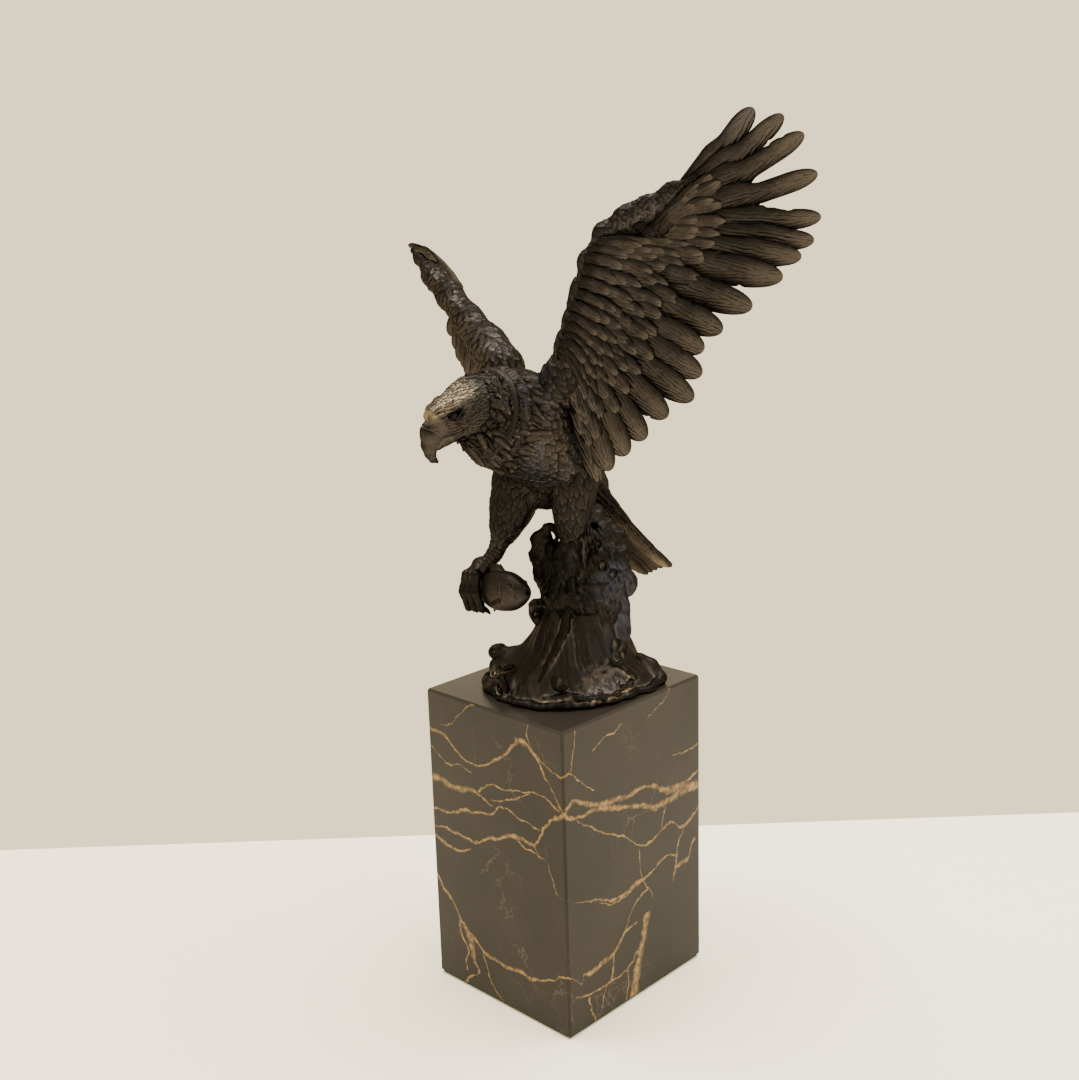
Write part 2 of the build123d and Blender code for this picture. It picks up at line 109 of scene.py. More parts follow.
class Clay:
    """A block of clay that forms are pressed into and cut from, as a distance field on a regular grid."""

    def __init__(self, low, high, voxel):
        self.voxel = voxel
        self.low = np.array(low, float)
        self.counts = np.ceil((np.array(high, float) - self.low) / voxel).astype(int) + 1
        self.far = 6.0
        self.field = np.full(self.counts, self.far, np.float32)

    def window(self, low, high):
        start = np.clip(np.floor((low - self.low) / self.voxel).astype(int), 0, self.counts - 1)
        stop = np.clip(np.ceil((high - self.low) / self.voxel).astype(int) + 1, start + 1, self.counts)
        cut = tuple(slice(a, b) for a, b in zip(start, stop))
        axes = [self.low[i] + self.voxel * np.arange(start[i], stop[i], dtype=np.float32) for i in range(3)]
        x, y, z = (axes[0][:, None, None], axes[1][None, :, None], axes[2][None, None, :])
        return cut, x.astype(np.float32), y.astype(np.float32), z.astype(np.float32)

    def press(self, cut, distance, soft):
        """Adds a form, melted into what is there over a width of soft."""
        old = self.field[cut]
        gap = np.maximum(soft - np.abs(old - distance), 0) / soft
        self.field[cut] = np.minimum(old, distance) - gap * gap * soft * 0.25

    def cut_away(self, cut, distance, soft):
        old = self.field[cut]
        gap = np.maximum(soft - np.abs(old + distance), 0) / soft
        self.field[cut] = np.maximum(old, -distance) + gap * gap * soft * 0.25

    def limb(self, stations, soft=1.0, flat=None, remove=False):
        """A tapering limb through rows of x, y, z, radius; flat=(direction, share) thins it along a direction."""
        rows = np.asarray(stations, float)
        for first, second in zip(rows, rows[1:]):
            a, b = first[:3], second[:3]
            pad = max(first[3], second[3]) + soft + 2 * self.voxel
            cut, x, y, z = self.window(np.minimum(a, b) - pad, np.maximum(a, b) + pad)
            along = b - a
            px, py, pz = x - a[0], y - a[1], z - a[2]
            t = np.clip((px * along[0] + py * along[1] + pz * along[2]) / max(along @ along, 1e-9), 0, 1)
            dx, dy, dz = px - along[0] * t, py - along[1] * t, pz - along[2] * t
            square = dx * dx + dy * dy + dz * dz
            if flat is not None:
                direction, share = unit(flat[0]), flat[1]
                component = dx * direction[0] + dy * direction[1] + dz * direction[2]
                square = square + component * component * (1 / share ** 2 - 1)
            distance = np.sqrt(square) - (first[3] + (second[3] - first[3]) * t)
            if flat is not None:
                distance = distance * min(1.0, flat[1] * 1.6)
            (self.cut_away if remove else self.press)(cut, distance.astype(np.float32), soft)

    def ball(self, centre, radii, soft=1.0, turn=None, remove=False):
        """An ellipsoid; turn holds its three axes as rows."""
        radii = np.array(radii, float) * np.ones(3)
        pad = radii.max() + soft + 2 * self.voxel
        cut, x, y, z = self.window(centre - pad, centre + pad)
        px, py, pz = x - centre[0], y - centre[1], z - centre[2]
        axes = np.eye(3) if turn is None else np.asarray(turn, float)
        q = [px * axis[0] + py * axis[1] + pz * axis[2] for axis in axes]
        k0 = np.sqrt(sum((c / r) ** 2 for c, r in zip(q, radii)))
        k1 = np.sqrt(sum((c / r ** 2) ** 2 for c, r in zip(q, radii)))
        distance = k0 * (k0 - 1) / np.maximum(k1, 1e-6)
        (self.cut_away if remove else self.press)(cut, distance.astype(np.float32), soft)

    def slice_off(self, origin, direction):
        """Removes everything beyond a plane."""
        cut, x, y, z = self.window(self.low, self.low + self.voxel * self.counts)
        direction = unit(direction)
        beyond = (x - origin[0]) * direction[0] + (y - origin[1]) * direction[1] + (z
                - origin[2]) * direction[2]
        self.field = np.maximum(self.field, beyond.astype(np.float32))

    def skin(self, passes=2):
        """Mesh of the surface: points and quads."""
        grid = openvdb.FloatGrid(self.far)
        grid.copyFromArray(self.field)
        points, quads = grid.convertToQuads(0.0)
        points = self.low + points.astype(float) * self.voxel
        faces = quads[:, ::-1].astype(np.int64)
        shape = Shape(points, faces)
        shape.relax(passes, 0.5)
        return shape


class Shape:
    """A mesh being worked on: points in millimetres, faces of four corners, and values painted on the points."""

    def __init__(self, points, faces):
        self.points = points
        self.faces = faces
        self.paint = {}

    def edges(self):
        f = self.faces
        pairs = np.concatenate([f[:, [0, 1]], f[:, [1, 2]], f[:, [2, 3]], f[:, [3, 0]]])
        return pairs[pairs[:, 0] != pairs[:, 1]]

    def averages(self, values, pairs):
        """Mean of the values at each point's neighbours."""
        count = len(self.points)
        number = np.maximum(np.bincount(pairs[:, 0], minlength=count)
                            + np.bincount(pairs[:, 1], minlength=count), 1)
        columns = []
        for column in np.atleast_2d(values.T):
            total = np.bincount(pairs[:, 0], column[pairs[:, 1]], count) + np.bincount(pairs[:, 1],
                    column[pairs[:, 0]], count)
            columns.append(total / number)
        return np.array(columns).T if values.ndim > 1 else columns[0]

    def relax(self, passes, strength):
        pairs = self.edges()
        for number in range(passes):
            for amount in (strength, -strength * 1.04):
                self.points = self.points + amount * (self.averages(self.points, pairs) - self.points)

    def normals(self):
        f = self.faces
        p = self.points
        face_normals = np.cross(p[f[:, 2]] - p[f[:, 0]], p[f[:, 3]] - p[f[:, 1]])
        total = np.zeros_like(p)
        for corner in range(4):
            for axis in range(3):
                total[:, axis] += np.bincount(f[:, corner], face_normals[:, axis], len(p))
        return unit(total)

    def hollows(self, passes):
        """How far each point stands out of its surroundings, in millimetres."""
        pairs = self.edges()
        soft = self.points
        for number in range(passes):
            soft = soft + 0.8 * (self.averages(soft, pairs) - soft)
        return ((self.points - soft) * self.normals()).sum(axis=1)

    def push(self, heights):
        self.points = self.points + self.normals() * heights[:, None]


def joined(shapes):
    points, faces, offset = [], [], 0
    paint = {}
    for shape in shapes:
        points.append(shape.points)
        faces.append(shape.faces + offset)
        offset += len(shape.points)
    for name in set().union(*(shape.paint for shape in shapes)):
        paint[name] = np.concatenate([shape.paint.get(name, np.zeros(len(shape.points)))
                                      for shape in shapes])
    whole = Shape(np.vstack(points), np.vstack(faces))
    whole.paint = paint
    return whole


def body_object(name, shape, material, nodes):
    """Turns a shape into the Blender piece that stands for CAD nodes."""
    mesh = bpy.data.meshes.new(name)
    points = shape.points * MM
    mesh.vertices.add(len(points))
    mesh.vertices.foreach_set("co", points.ravel())
    faces = shape.faces
    triangle = faces[:, 3] == faces[:, 2]
    sizes = np.where(triangle, 3, 4)
    keep = np.ones(faces.shape, bool)
    keep[:, 3] = ~triangle
    mesh.loops.add(int(sizes.sum()))
    mesh.loops.foreach_set("vertex_index", faces[keep])
    mesh.polygons.add(len(faces))
    mesh.polygons.foreach_set("loop_start", np.concatenate([[0], np.cumsum(sizes)[:-1]]))
    mesh.polygons.foreach_set("use_smooth", np.ones(len(faces), bool))
    mesh.update()
    mesh.validate()
    for label, values in shape.paint.items():
        attribute = mesh.attributes.new(label, "FLOAT", "POINT")
        attribute.data.foreach_set("value", values.astype(np.float32))
    piece = bpy.data.objects.new(name, mesh)
    bpy.context.scene.collection.objects.link(piece)
    piece.data.materials.append(material)
    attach(piece, "root")
    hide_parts(*nodes)
    return piece


# ---- Feathers pressed into a surface -------------------------------------------------------------

def scatter(points, chosen, spacing, seed):
    """Picks points that are at least spacing apart; spacing is one value for each point."""
    order = np.random.default_rng(seed).permutation(np.flatnonzero(chosen))
    picked = []
    places = np.empty((0, 3))
    for index in order:
        if len(places) and ((places - points[index]) ** 2).sum(axis=1).min() < spacing[index] ** 2:
            continue
        picked.append(index)
        places = np.vstack([places, points[index]])
    return np.array(picked, int)


def feather_relief(shape, roots, directions, lengths, widths, lift, point=0.45, groove=0.10, seed=5):
    """Height over the surface of overlapping feathers that lie on it, each with its root at one of the points."""
    chance = np.random.default_rng(seed)
    points = shape.points.astype(np.float32)
    normals = shape.normals().astype(np.float32)
    height = np.zeros(len(points), np.float32)
    for root, direction, length, width in zip(roots, directions, lengths, widths):
        normal = normals[root]
        ahead = unit(direction - normal * (direction @ normal)).astype(np.float32)
        across = np.cross(normal, ahead)
        middle = points[root] + ahead * length * 0.5
        near = np.flatnonzero(((points - middle) ** 2).sum(axis=1) < (0.62 * length + width) ** 2)
        near = near[normals[near] @ normal > -0.1]
        offset = points[near] - points[root]
        a = offset @ ahead / length
        sway = chance.uniform(-0.25, 0.25) * width
        b = (offset @ across - sway * a * a) / (0.5 * width)
        belly = np.clip((a - point) / (1 - point), 0, 1)
        outline = (0.62 + 0.38 * smooth(0, point, a)) * np.sqrt(np.maximum(1 - belly ** 2.4, 0))
        share = np.abs(b) / np.maximum(outline, 1e-3)
        inside = (a > -0.12) & (a < 1) & (share < 1)
        rise = 0.25 + 0.75 * np.clip(a, 0, 1)
        crown = 1 - 0.38 * share ** 2
        rim = smooth(0, 0.16, 1 - share) * 0.3 + 0.7
        barbs = 0.05 * np.sin((a * length + np.abs(b) * width * 0.4) * 2 * math.pi / 1.25)
        value = lift * rise * crown * rim * smooth(-0.12, 0.1, a)
        value = value - groove * lift * np.exp(-(b / 0.14) ** 2) * (a < 0.93) + barbs * lift
        best = np.where(inside, value, 0)
        height[near] = np.maximum(height[near], best)
    return height


# ---- Camera, floor and light ---------------------------------------------------------------------

def camera():
    """Where the statuette is seen from: turned, tipped down and slightly rolled."""
    yaw, pitch, roll = math.radians(44.394), math.radians(13.857), math.radians(-1.742)
    ahead = vec(-math.sin(yaw) * math.cos(pitch), math.cos(yaw) * math.cos(pitch), -math.sin(pitch))
    right = vec(math.cos(yaw), math.sin(yaw), 0)
    above = np.cross(right, ahead)
    turned_right = right * math.cos(roll) + above * math.sin(roll)
    turned_up = above * math.cos(roll) - right * math.sin(roll)
    data = bpy.data.cameras.new("camera")
    data.sensor_width = 36.0
    data.lens = 45.51
    data.clip_start = 0.01
    eye = bpy.data.objects.new("camera", data)
    matrix = np.eye(4)
    matrix[:3, 0] = turned_right
    matrix[:3, 1] = turned_up
    matrix[:3, 2] = -ahead
    matrix[:3, 3] = vec(480.65, -506.30, 421.20) * MM
    eye.matrix_world = Matrix(matrix.tolist())
    bpy.context.scene.collection.objects.link(eye)
    bpy.context.scene.camera = eye


def area_light(name, place, target, size, power, colour):
    data = bpy.data.lights.new(name, "AREA")
    data.shape = "DISK"
    data.size = size
    data.energy = power
    data.color = colour
    light = bpy.data.objects.new(name, data)
    back = unit(place - target)
    right = unit(np.cross(vec(0, 0, 1), back))
    matrix = np.eye(4)
    matrix[:3, 0], matrix[:3, 1], matrix[:3, 2], matrix[:3, 3] = right, np.cross(back, right), back, place
    light.matrix_world = Matrix(matrix.tolist())
    bpy.context.scene.collection.objects.link(light)


def studio():
    """Pale floor, warm even surroundings and soft lamps."""
    # A table top: it ends in a straight edge behind the statuette and runs far towards the viewer
    size, behind = 6.0, 0.240
    corners = [(-size, behind - size, 0), (-size, -size, 0), (size, -size, 0), (size, size + behind, 0)]
    mesh = bpy.data.meshes.new("floor")
    mesh.from_pydata(corners, [], [(0, 1, 2, 3)])
    floor = bpy.data.objects.new("floor", mesh)
    bpy.context.scene.collection.objects.link(floor)
    material = bpy.data.materials.new("floor")
    material.use_nodes = True
    shader = material.node_tree.nodes["Principled BSDF"]
    shader.inputs["Base Color"].default_value = (0.97, 0.91, 0.78, 1)
    shader.inputs["Roughness"].default_value = 0.85
    floor.data.materials.append(material)
    world = bpy.data.worlds.new("world")
    world.use_nodes = True
    world.node_tree.nodes["Background"].inputs["Color"].default_value = (1.0, 0.84, 0.55, 1)
    world.node_tree.nodes["Background"].inputs["Strength"].default_value = 1.72
    bpy.context.scene.world = world
    middle = vec(0, 0, 0.28)
    area_light("key", vec(-0.40, -0.30, 1.45), middle, 0.6, 24.0, (1.0, 0.96, 0.90))
    area_light("top", vec(0.25, 0.35, 1.4), middle, 0.9, 30.0, (1.0, 0.97, 0.93))
    area_light("fill", vec(1.3, -0.25, 0.7), middle, 0.8, 5.0, (0.90, 0.95, 1.0))


# ---- Materials -----------------------------------------------------------------------------------

class Nodes:
    """Short hand for building a material's node tree."""

    def __init__(self, name):
        self.material = bpy.data.materials.new(name)
        self.material.use_nodes = True
        self.tree = self.material.node_tree
        self.shader = self.tree.nodes["Principled BSDF"]

    def add(self, kind, settings=None, **inputs):
        node = self.tree.nodes.new(kind)
        for key, value in (settings or {}).items():
            setattr(node, key, value)
        for key, value in inputs.items():
            self.feed(node.inputs[int(key[1:])] if key[0] == "_" else node.inputs[key.replace("_", " ")],
                      value)
        return node

    def feed(self, socket, value):
        if isinstance(value, bpy.types.NodeSocket):
            self.tree.links.new(value, socket)
        else:
            socket.default_value = value

    def math(self, operation, a, b=0.0, clamp=False):
        return self.add("ShaderNodeMath", {"operation": operation, "use_clamp": clamp}, _0=a,
                        _1=b).outputs[0]

    def mix(self, share, a, b):
        node = self.tree.nodes.new("ShaderNodeMix")
        node.data_type = "RGBA"
        self.feed(node.inputs[0], share)
        self.feed(node.inputs[6], a)
        self.feed(node.inputs[7], b)
        return node.outputs[2]

    def ramp(self, value, low, high):
        return self.add("ShaderNodeMapRange", {"clamp": True, "interpolation_type": "SMOOTHSTEP"},
                        _0=value, _1=low, _2=high).outputs[0]

    def attribute(self, name):
        return self.add("ShaderNodeAttribute", {"attribute_name": name}).outputs["Fac"]

    def noise(self, scale, detail=4.0, rough=0.55, vector=None, warp=0.0):
        node = self.add("ShaderNodeTexNoise", Scale=scale, Detail=detail, Roughness=rough, Distortion=warp)
        if vector is not None:
            self.feed(node.inputs["Vector"], vector)
        return node.outputs["Fac"]


def bronze_material():
    """Brown patina over bronze: dark in the hollows with painted shade, rubbed olive gold on the high places with
    painted highlights, a painted bluish sheen in parts.
    """
    n = Nodes("bronze_patina")
    place = n.add("ShaderNodeTexCoord").outputs["Object"]
    broad = n.noise(38.0, 3.0, 0.5, place)
    fine = n.noise(420.0, 5.0, 0.6, place)
    rub_and_highlight = n.attribute("rub_and_highlight")
    dark_patina_and_shade = n.attribute("dark_patina_and_shade")
    painted_blue_sheen = n.attribute("painted_blue_sheen")
    wear_and_highlight = n.math("ADD", rub_and_highlight, n.math("MULTIPLY", n.math("SUBTRACT", fine, 0.5), 0.35))
    colour = n.mix(n.ramp(broad, 0.35, 0.68), (0.0105, 0.0098, 0.0094, 1), (0.0185, 0.0155, 0.0135, 1))
    # Rubbed brown and olive gold on worn high places, also carrying painted highlights
    colour = n.mix(n.ramp(wear_and_highlight, 0.22, 0.72), colour, (0.056, 0.048, 0.041, 1))
    colour = n.mix(n.ramp(wear_and_highlight, 0.72, 1.15), colour, (0.26, 0.205, 0.135, 1))
    # Painted bluish sheen
    colour = n.mix(n.math("MULTIPLY", painted_blue_sheen, 0.7), colour, (0.040, 0.045, 0.068, 1))
    # Near black for dark patina in the hollows and for painted shade
    colour = n.mix(n.math("MULTIPLY", dark_patina_and_shade, 0.9), colour, (0.0036, 0.0034, 0.0032, 1))
    n.feed(n.shader.inputs["Base Color"], colour)
    n.shader.inputs["Metallic"].default_value = 0.85
    n.shader.inputs["Specular Tint"].default_value = (0.45, 0.42, 0.38, 1)
    n.feed(n.shader.inputs["Roughness"], n.math("ADD", n.math("MULTIPLY", fine, 0.22),
                                               n.math("SUBTRACT", 0.36, n.math("MULTIPLY", rub_and_highlight, 0.10))))
    # Barbs of the free feathers, slanting out from the quill
    along = n.attribute("along")
    slant = n.math("ADD", n.math("MULTIPLY", along, 0.16), n.attribute("across"))
    sway = n.math("MULTIPLY", n.noise(160.0, 2.0, 0.5, place), 9.0)
    barbs = n.math("SINE", n.math("ADD", n.math("MULTIPLY", slant, 3.4), sway))
    barbs = n.math("MULTIPLY", n.math("MULTIPLY", barbs, n.math("GREATER_THAN", along, 0.5)), 0.5)
    bump = n.add("ShaderNodeBump", Strength=0.25, Distance=0.0004, Height=fine)
    comb = n.add("ShaderNodeBump", Strength=0.70, Distance=0.00045, Height=barbs)
    n.feed(comb.inputs["Normal"], bump.outputs["Normal"])
    n.feed(n.shader.inputs["Normal"], comb.outputs["Normal"])
    return n.material


def plain_material(name, colour, metallic, roughness):
    """Fasteners, dowels and felt: a plain colour with a fine noise grain in colour and roughness."""
    n = Nodes(name)
    place = n.add("ShaderNodeTexCoord").outputs["Object"]
    grain = n.noise(900.0, 4.0, 0.6, place)
    n.feed(n.shader.inputs["Base Color"], n.mix(grain, colour, tuple(c * 0.8 for c in colour[:3]) + (1,)))
    n.shader.inputs["Metallic"].default_value = metallic
    n.feed(n.shader.inputs["Roughness"], n.math("ADD", n.math("MULTIPLY", grain, 0.2), roughness - 0.1))
    return n.material


def weathered(shape, painted_blue_sheen=None, extra_rub_and_highlight=0.0, darker=0.0):
    """Paints how rubbed each point is, with painted highlights, dark patina in the hollows with painted shade on faces
    that turn down, and a painted bluish sheen.
    """
    near = shape.hollows(3)
    wide = shape.hollows(24)
    rub_and_highlight = 0.36 + 1.2 * near + 0.42 * wide + extra_rub_and_highlight
    dark_patina_and_shade = smooth(0.05, 0.60, -(near * 1.6 + wide * 0.9))
    # Painted shade: faces that turn down are darker and less rubbed
    downward = smooth(0.0, -0.9, shape.normals()[:, 2])
    shape.paint["rub_and_highlight"] = np.clip(rub_and_highlight - 0.15 * downward, 0, 1.2)
    shape.paint["dark_patina_and_shade"] = np.clip(dark_patina_and_shade + 0.40 * downward + darker, 0, 1)
    shape.paint["painted_blue_sheen"] = np.zeros(len(shape.points)) if painted_blue_sheen is None else np.clip(painted_blue_sheen, 0, 1)
    return shape


# ---- Eagle's body --------------------------------------------------------------------------------

# Centre line of the body from the skull to the rump: x, y, height over the perch, radius
BODY_LINE = np.array([
    (-3.0, -56, 98, 12.5), (-1.5, -50, 95.5, 15.5), (0, -42, 91, 19.5), (0, -31, 88, 23.3),
                      (0, -18, 77, 23.8),
    (0, -4, 65, 21.6), (0, 10, 54, 16.5), (0, 21, 45, 11.5), (0, 31, 36.5, 7.5)])
NECK_SEAM = up(0, -46, 98)
NECK_WAY = unit(vec(0, -0.86, 0.26))

# The head's own frame: its centre, forwards, to its left and up
HEAD = up(-3, -56, 98)
HEAD_AHEAD = unit(vec(-0.294, -0.814, -0.5))
HEAD_LEFT = unit(vec(0.94, -0.34, 0))
HEAD_TOP = np.cross(HEAD_LEFT, HEAD_AHEAD) * -1


def on_head(ahead, left, top):
    return HEAD + HEAD_AHEAD * ahead + HEAD_LEFT * left + HEAD_TOP * top


def head_rows(rows, side=1):
    return [(*on_head(a, side * l, t), r) for a, l, t, r in rows]


def lifted(rows):
    """Rows of x, y, height over the perch, radius in the CAD frame."""
    rows = np.array(rows, float)
    rows[:, 2] += PERCH
    return rows


def press_body(clay):
    """Neck with the back of the skull, chest, back, rump, and the shoulders that the wings spring from."""
    clay.limb(lifted(BODY_LINE), soft=5)
    clay.ball(on_head(3.5, 0, 1.2), (15.5, 11.6, 11.8), 4, [HEAD_AHEAD, HEAD_LEFT, HEAD_TOP])
    clay.limb(lifted([(0, -46, 88.5, 16.5), (0, -38, 82, 19)]), soft=7)
    clay.limb(lifted([(0, -30, 92, 17.5), (0, -14, 84, 18)]), soft=7)
    for side in (1, -1):
        clay.limb(lifted([(side * 9, -22, 86, 15), (side * 19, -24.5, 101.5, 8.6)]), soft=8)
        clay.limb(lifted([(side * 10, -10, 66, 14), (side * 13, -4, 58, 12)]), soft=8)


def body_flow(points):
    """Way the feathers lie on the body: along its centre line, from the head to the tail."""
    centres = lifted(BODY_LINE)[:, :3]
    ways = unit(np.gradient(centres, axis=0))
    gap = ((points[:, None, :] - centres[None]) ** 2).sum(axis=2)
    weight = np.exp(-gap / 260.0)
    return unit(weight @ ways)


def ruffled(shape, roots, ways, spread, seed):
    """Turns each feather's way by a smooth and a random angle about the surface's normal."""
    normals = shape.normals()[roots]
    ways = unit(ways - normals * (ways * normals).sum(axis=1, keepdims=True))
    across = np.cross(normals, ways)
    angle = spread * (0.9 * lattice_noise(shape.points[roots], 13.0, seed)
                      + 0.45 * np.random.default_rng(seed).uniform(-1, 1, len(roots)))
    return ways * np.cos(angle)[:, None] + across * np.sin(angle)[:, None]


def hackles(shape, seam, low, high, reach, seed):
    """Free hackle feathers that start in a band of the neck and lie back over the surface."""
    p, normals = shape.points, shape.normals()
    chance = np.random.default_rng(seed)
    sides = normals[:, 2] > -0.45       # the throat stays smooth
    roots = scatter(p, (seam > low) & (seam < high) & sides, np.full(len(p), 2.5), seed)
    ways = ruffled(shape, roots, body_flow(p[roots]), 0.45, seed + 1)
    feathers = []
    for number, (root, way) in enumerate(zip(roots, ways)):
        goal = p[root] + way * reach * chance.uniform(0.75, 1.2)
        end = ((p - goal) ** 2).sum(axis=1).argmin()
        lift = chance.uniform(0.0, 0.6)
        feathers.append(plume(p[root] - normals[root] * 0.9, goal * 0.5 + p[end] * 0.5 + normals[end] * lift,
                              chance.uniform(4.2, 5.6), 1.25, unit(normals[root] + normals[end]), seed
                              + number,
                              rings=16, around=10, bow=(chance.uniform(-0.07, 0.07), 0.05),
                              tilt=chance.uniform(-0.22, 0.22), round_from=0.25, hidden=0.05))
    return feathers


def torso_piece(bronze):
    clay = Clay(up(-38, -66, 14), up(38, 48, 122), 0.55)
    press_body(clay)
    clay.slice_off(NECK_SEAM + NECK_WAY * 2, NECK_WAY)
    shape = clay.skin()
    p = shape.points
    seam = (p - NECK_SEAM) @ NECK_WAY
    tail_share = smooth(-45, 25, p[:, 1])
    length = 7.5 + 4.5 * tail_share + 1.5 * lattice_noise(p, 9.0, 3)
    roots = scatter(p, seam < 1.5, length * 0.33, 4)
    ways = ruffled(shape, roots, body_flow(p[roots]), 0.55, 6)
    chance = np.random.default_rng(7)
    lengths = length[roots] * chance.uniform(0.85, 1.2, len(roots))
    relief = feather_relief(shape, roots, ways, lengths, lengths * chance.uniform(0.50, 0.66, len(roots)),
                            1.15)
    shape.push(relief - 0.35 - 1.9 * smooth(-0.8, 1.6, seam))
    shape.relax(1, 0.25)
    # Painted bluish sheen in patches on the eagle's left side
    painted_blue_sheen = 0.5 * smooth(0.1, 0.6, lattice_noise(shape.points, 22.0, 9)) * smooth(-10, 15,
                                                                                  shape.points[:, 0])
    weathered(shape, painted_blue_sheen)
    for paint in ("dark_patina_and_shade", "painted_blue_sheen"):
        shape.paint[paint] = shape.paint[paint] * smooth(0.5, -4.0, seam)
    # Painted shade under the chest and belly
    belly = smooth(0.1, -0.6, shape.normals()[:, 2]) * smooth(-46, -20, shape.points[:, 1])
    shape.paint["dark_patina_and_shade"] = np.clip(shape.paint["dark_patina_and_shade"] + 0.55 * belly, 0, 1)
    whole = joined([shape] + hackles(shape, seam, -7.0, -1.0, 12.0, 600))
    return body_object("torso_casting", whole, bronze, ["torso"])


def head_piece(bronze):
    clay = Clay(up(-27, -94, 64), up(25, -28, 124), 0.36)
    press_body(clay)
    # Skull, face and lores
    turn = [HEAD_AHEAD, HEAD_LEFT, HEAD_TOP]
    clay.ball(on_head(14.5, 0, 3.4), (10.5, 8.0, 9.0), 3, turn)
    clay.limb(head_rows([(13, 0, -1.5, 8.2), (22, 0, 0.2, 5.8)]), 2, flat=(HEAD_LEFT, 0.9))
    # Jaw and the lower half of the beak
    clay.limb(head_rows([(10, 0, -6.0, 5.6), (15, 0, -6.8, 4.3), (21, 0, -6.9, 2.9), (26.0, 0, -7.6, 1.7)]),
              1.2)
    # Cere, then the upper beak that curves down to its hook
    clay.limb(head_rows([(20, 0, 0.6, 6.5), (25.0, 0, 0.4, 6.0)]), 1.0, flat=(HEAD_LEFT, 0.76))
    beak = [(22, 0, -0.6, 6.2), (26.2, 0, -1.6, 5.7), (29.2, 0, -4.2, 4.4), (31.2, 0, -7.8, 2.9),
            (31.7, 0, -11.0, 1.8), (30.6, 0, -13.4, 0.8)]
    clay.limb(head_rows(beak), 0.8, flat=(HEAD_LEFT, 0.62))
    for side in (1, -1):
        # Brow that overhangs the eye, cheek, and the corner of the gape
        brow = [(22.0, 3.4, 7.2, 1.6), (17.5, 6.6, 7.6, 2.6), (11.5, 9.4, 7.2, 2.9), (4, 10.9, 6.0, 1.8)]
        clay.limb(head_rows(brow, side), 1.6)
        clay.limb(head_rows([(12, 7.4, -2.0, 3.6), (4, 9.2, -2.5, 4.2)], side), 2.5)
        clay.ball(on_head(13.6, side * 9.9, 3.4), (4.2, 2.9, 2.4), 1.0, turn, remove=True)
        clay.ball(on_head(13.2, side * 7.5, 3.4), (2.4, 1.9, 1.8), 0.25, turn)
        clay.limb(head_rows([(16.0, 8.4, 3.4, 0.55), (12.6, 9.3, 1.5, 0.6), (9.2, 9.6, 3.4, 0.55)], side),
                  0.4)
        gape = [(12.2, 8.6, -4.2, 0.5), (16.5, 6.9, -5.8, 0.75), (21, 5.1, -7.0, 0.6), (26, 3.9, -8.4, 0.35)]
        clay.limb(head_rows(gape, side), 0.5, remove=True)
        edge = [(27.6, 0.4, 6.0, 0.4), (27.0, 3.2, 4.0, 0.45), (24.6, 5.3, 0.2, 0.45),
                (22.6, 5.3, -4.6, 0.4)]
        clay.limb(head_rows(edge, side), 0.4, remove=True)
        clay.limb(head_rows([(25.4, 4.5, 2.9, 0.55), (23.9, 5.4, 1.4, 0.6)], side), 0.4, remove=True)
    clay.slice_off(NECK_SEAM - NECK_WAY * 5, -NECK_WAY)
    shape = clay.skin()
    p = shape.points
    local = (p - HEAD) @ np.array([HEAD_AHEAD, HEAD_LEFT, HEAD_TOP]).T
    ahead, left, top = local.T
    # Bare parts: beak, cere, eye and lores
    bare = smooth(17.5, 20.0, ahead - 2.0 * smooth(5, 9, top) + 1.0 * smooth(-3, -7, top))
    eye = smooth(4.6, 3.6, np.sqrt((ahead - 12.8) ** 2 + (1.3 * (top - 3.6)) ** 2)) * (np.abs(left) > 5)
    cover = (1 - bare) * (1 - eye)
    length = 3.6 + 7.5 * smooth(12, -14, ahead) + 0.8 * lattice_noise(p, 6.0, 13)
    seam = (p - NECK_SEAM) @ NECK_WAY
    roots = scatter(p, (cover > 0.5) & (seam > -4), length * (0.30 + 0.06 * smooth(8, -8, ahead)), 14)
    back = unit(-HEAD_AHEAD[None] * (1 - smooth(8, -14, ahead[roots]))[:, None]
                + body_flow(p[roots]) * smooth(8, -14, ahead[roots])[:, None])
    ways = ruffled(shape, roots, back, 0.35, 16)
    lengths = length[roots] * np.random.default_rng(17).uniform(0.85, 1.2, len(roots))
    relief = feather_relief(shape, roots, ways, lengths, lengths * 0.38, 1.0, point=0.35, seed=18)
    relief = relief * (0.75 + 0.6 * smooth(8, -8, ahead))
    grain = 0.05 * lattice_noise(p, 0.9, 19) * bare
    shape.push(relief * cover + grain - 0.15 - 2.2 * smooth(0.2, -3.2, seam))
    # Painted highlight on the brow and crown, and a little more rubbed colour on the bare beak and cere
    brow_highlight_and_beak_rub = 0.62 * smooth(4, 9, top) * smooth(-9, 2, ahead) + 0.14 * bare
    # Painted bluish sheen in patches on the back of the head
    weathered(shape, 0.4 * smooth(0.0, 0.7, lattice_noise(shape.points, 15.0, 20)) * smooth(-4, -12, ahead),
              brow_highlight_and_beak_rub)
    shape.paint["dark_patina_and_shade"] = np.maximum(shape.paint["dark_patina_and_shade"] * smooth(-3.0, 0.0, seam), 0.55 * eye)
    whole = joined([shape] + hackles(shape, seam, 0.8, 13.0, 11.0, 700))
    return body_object("head_casting", whole, bronze, ["head"])


# ---- Legs ----------------------------------------------------------------------------------------

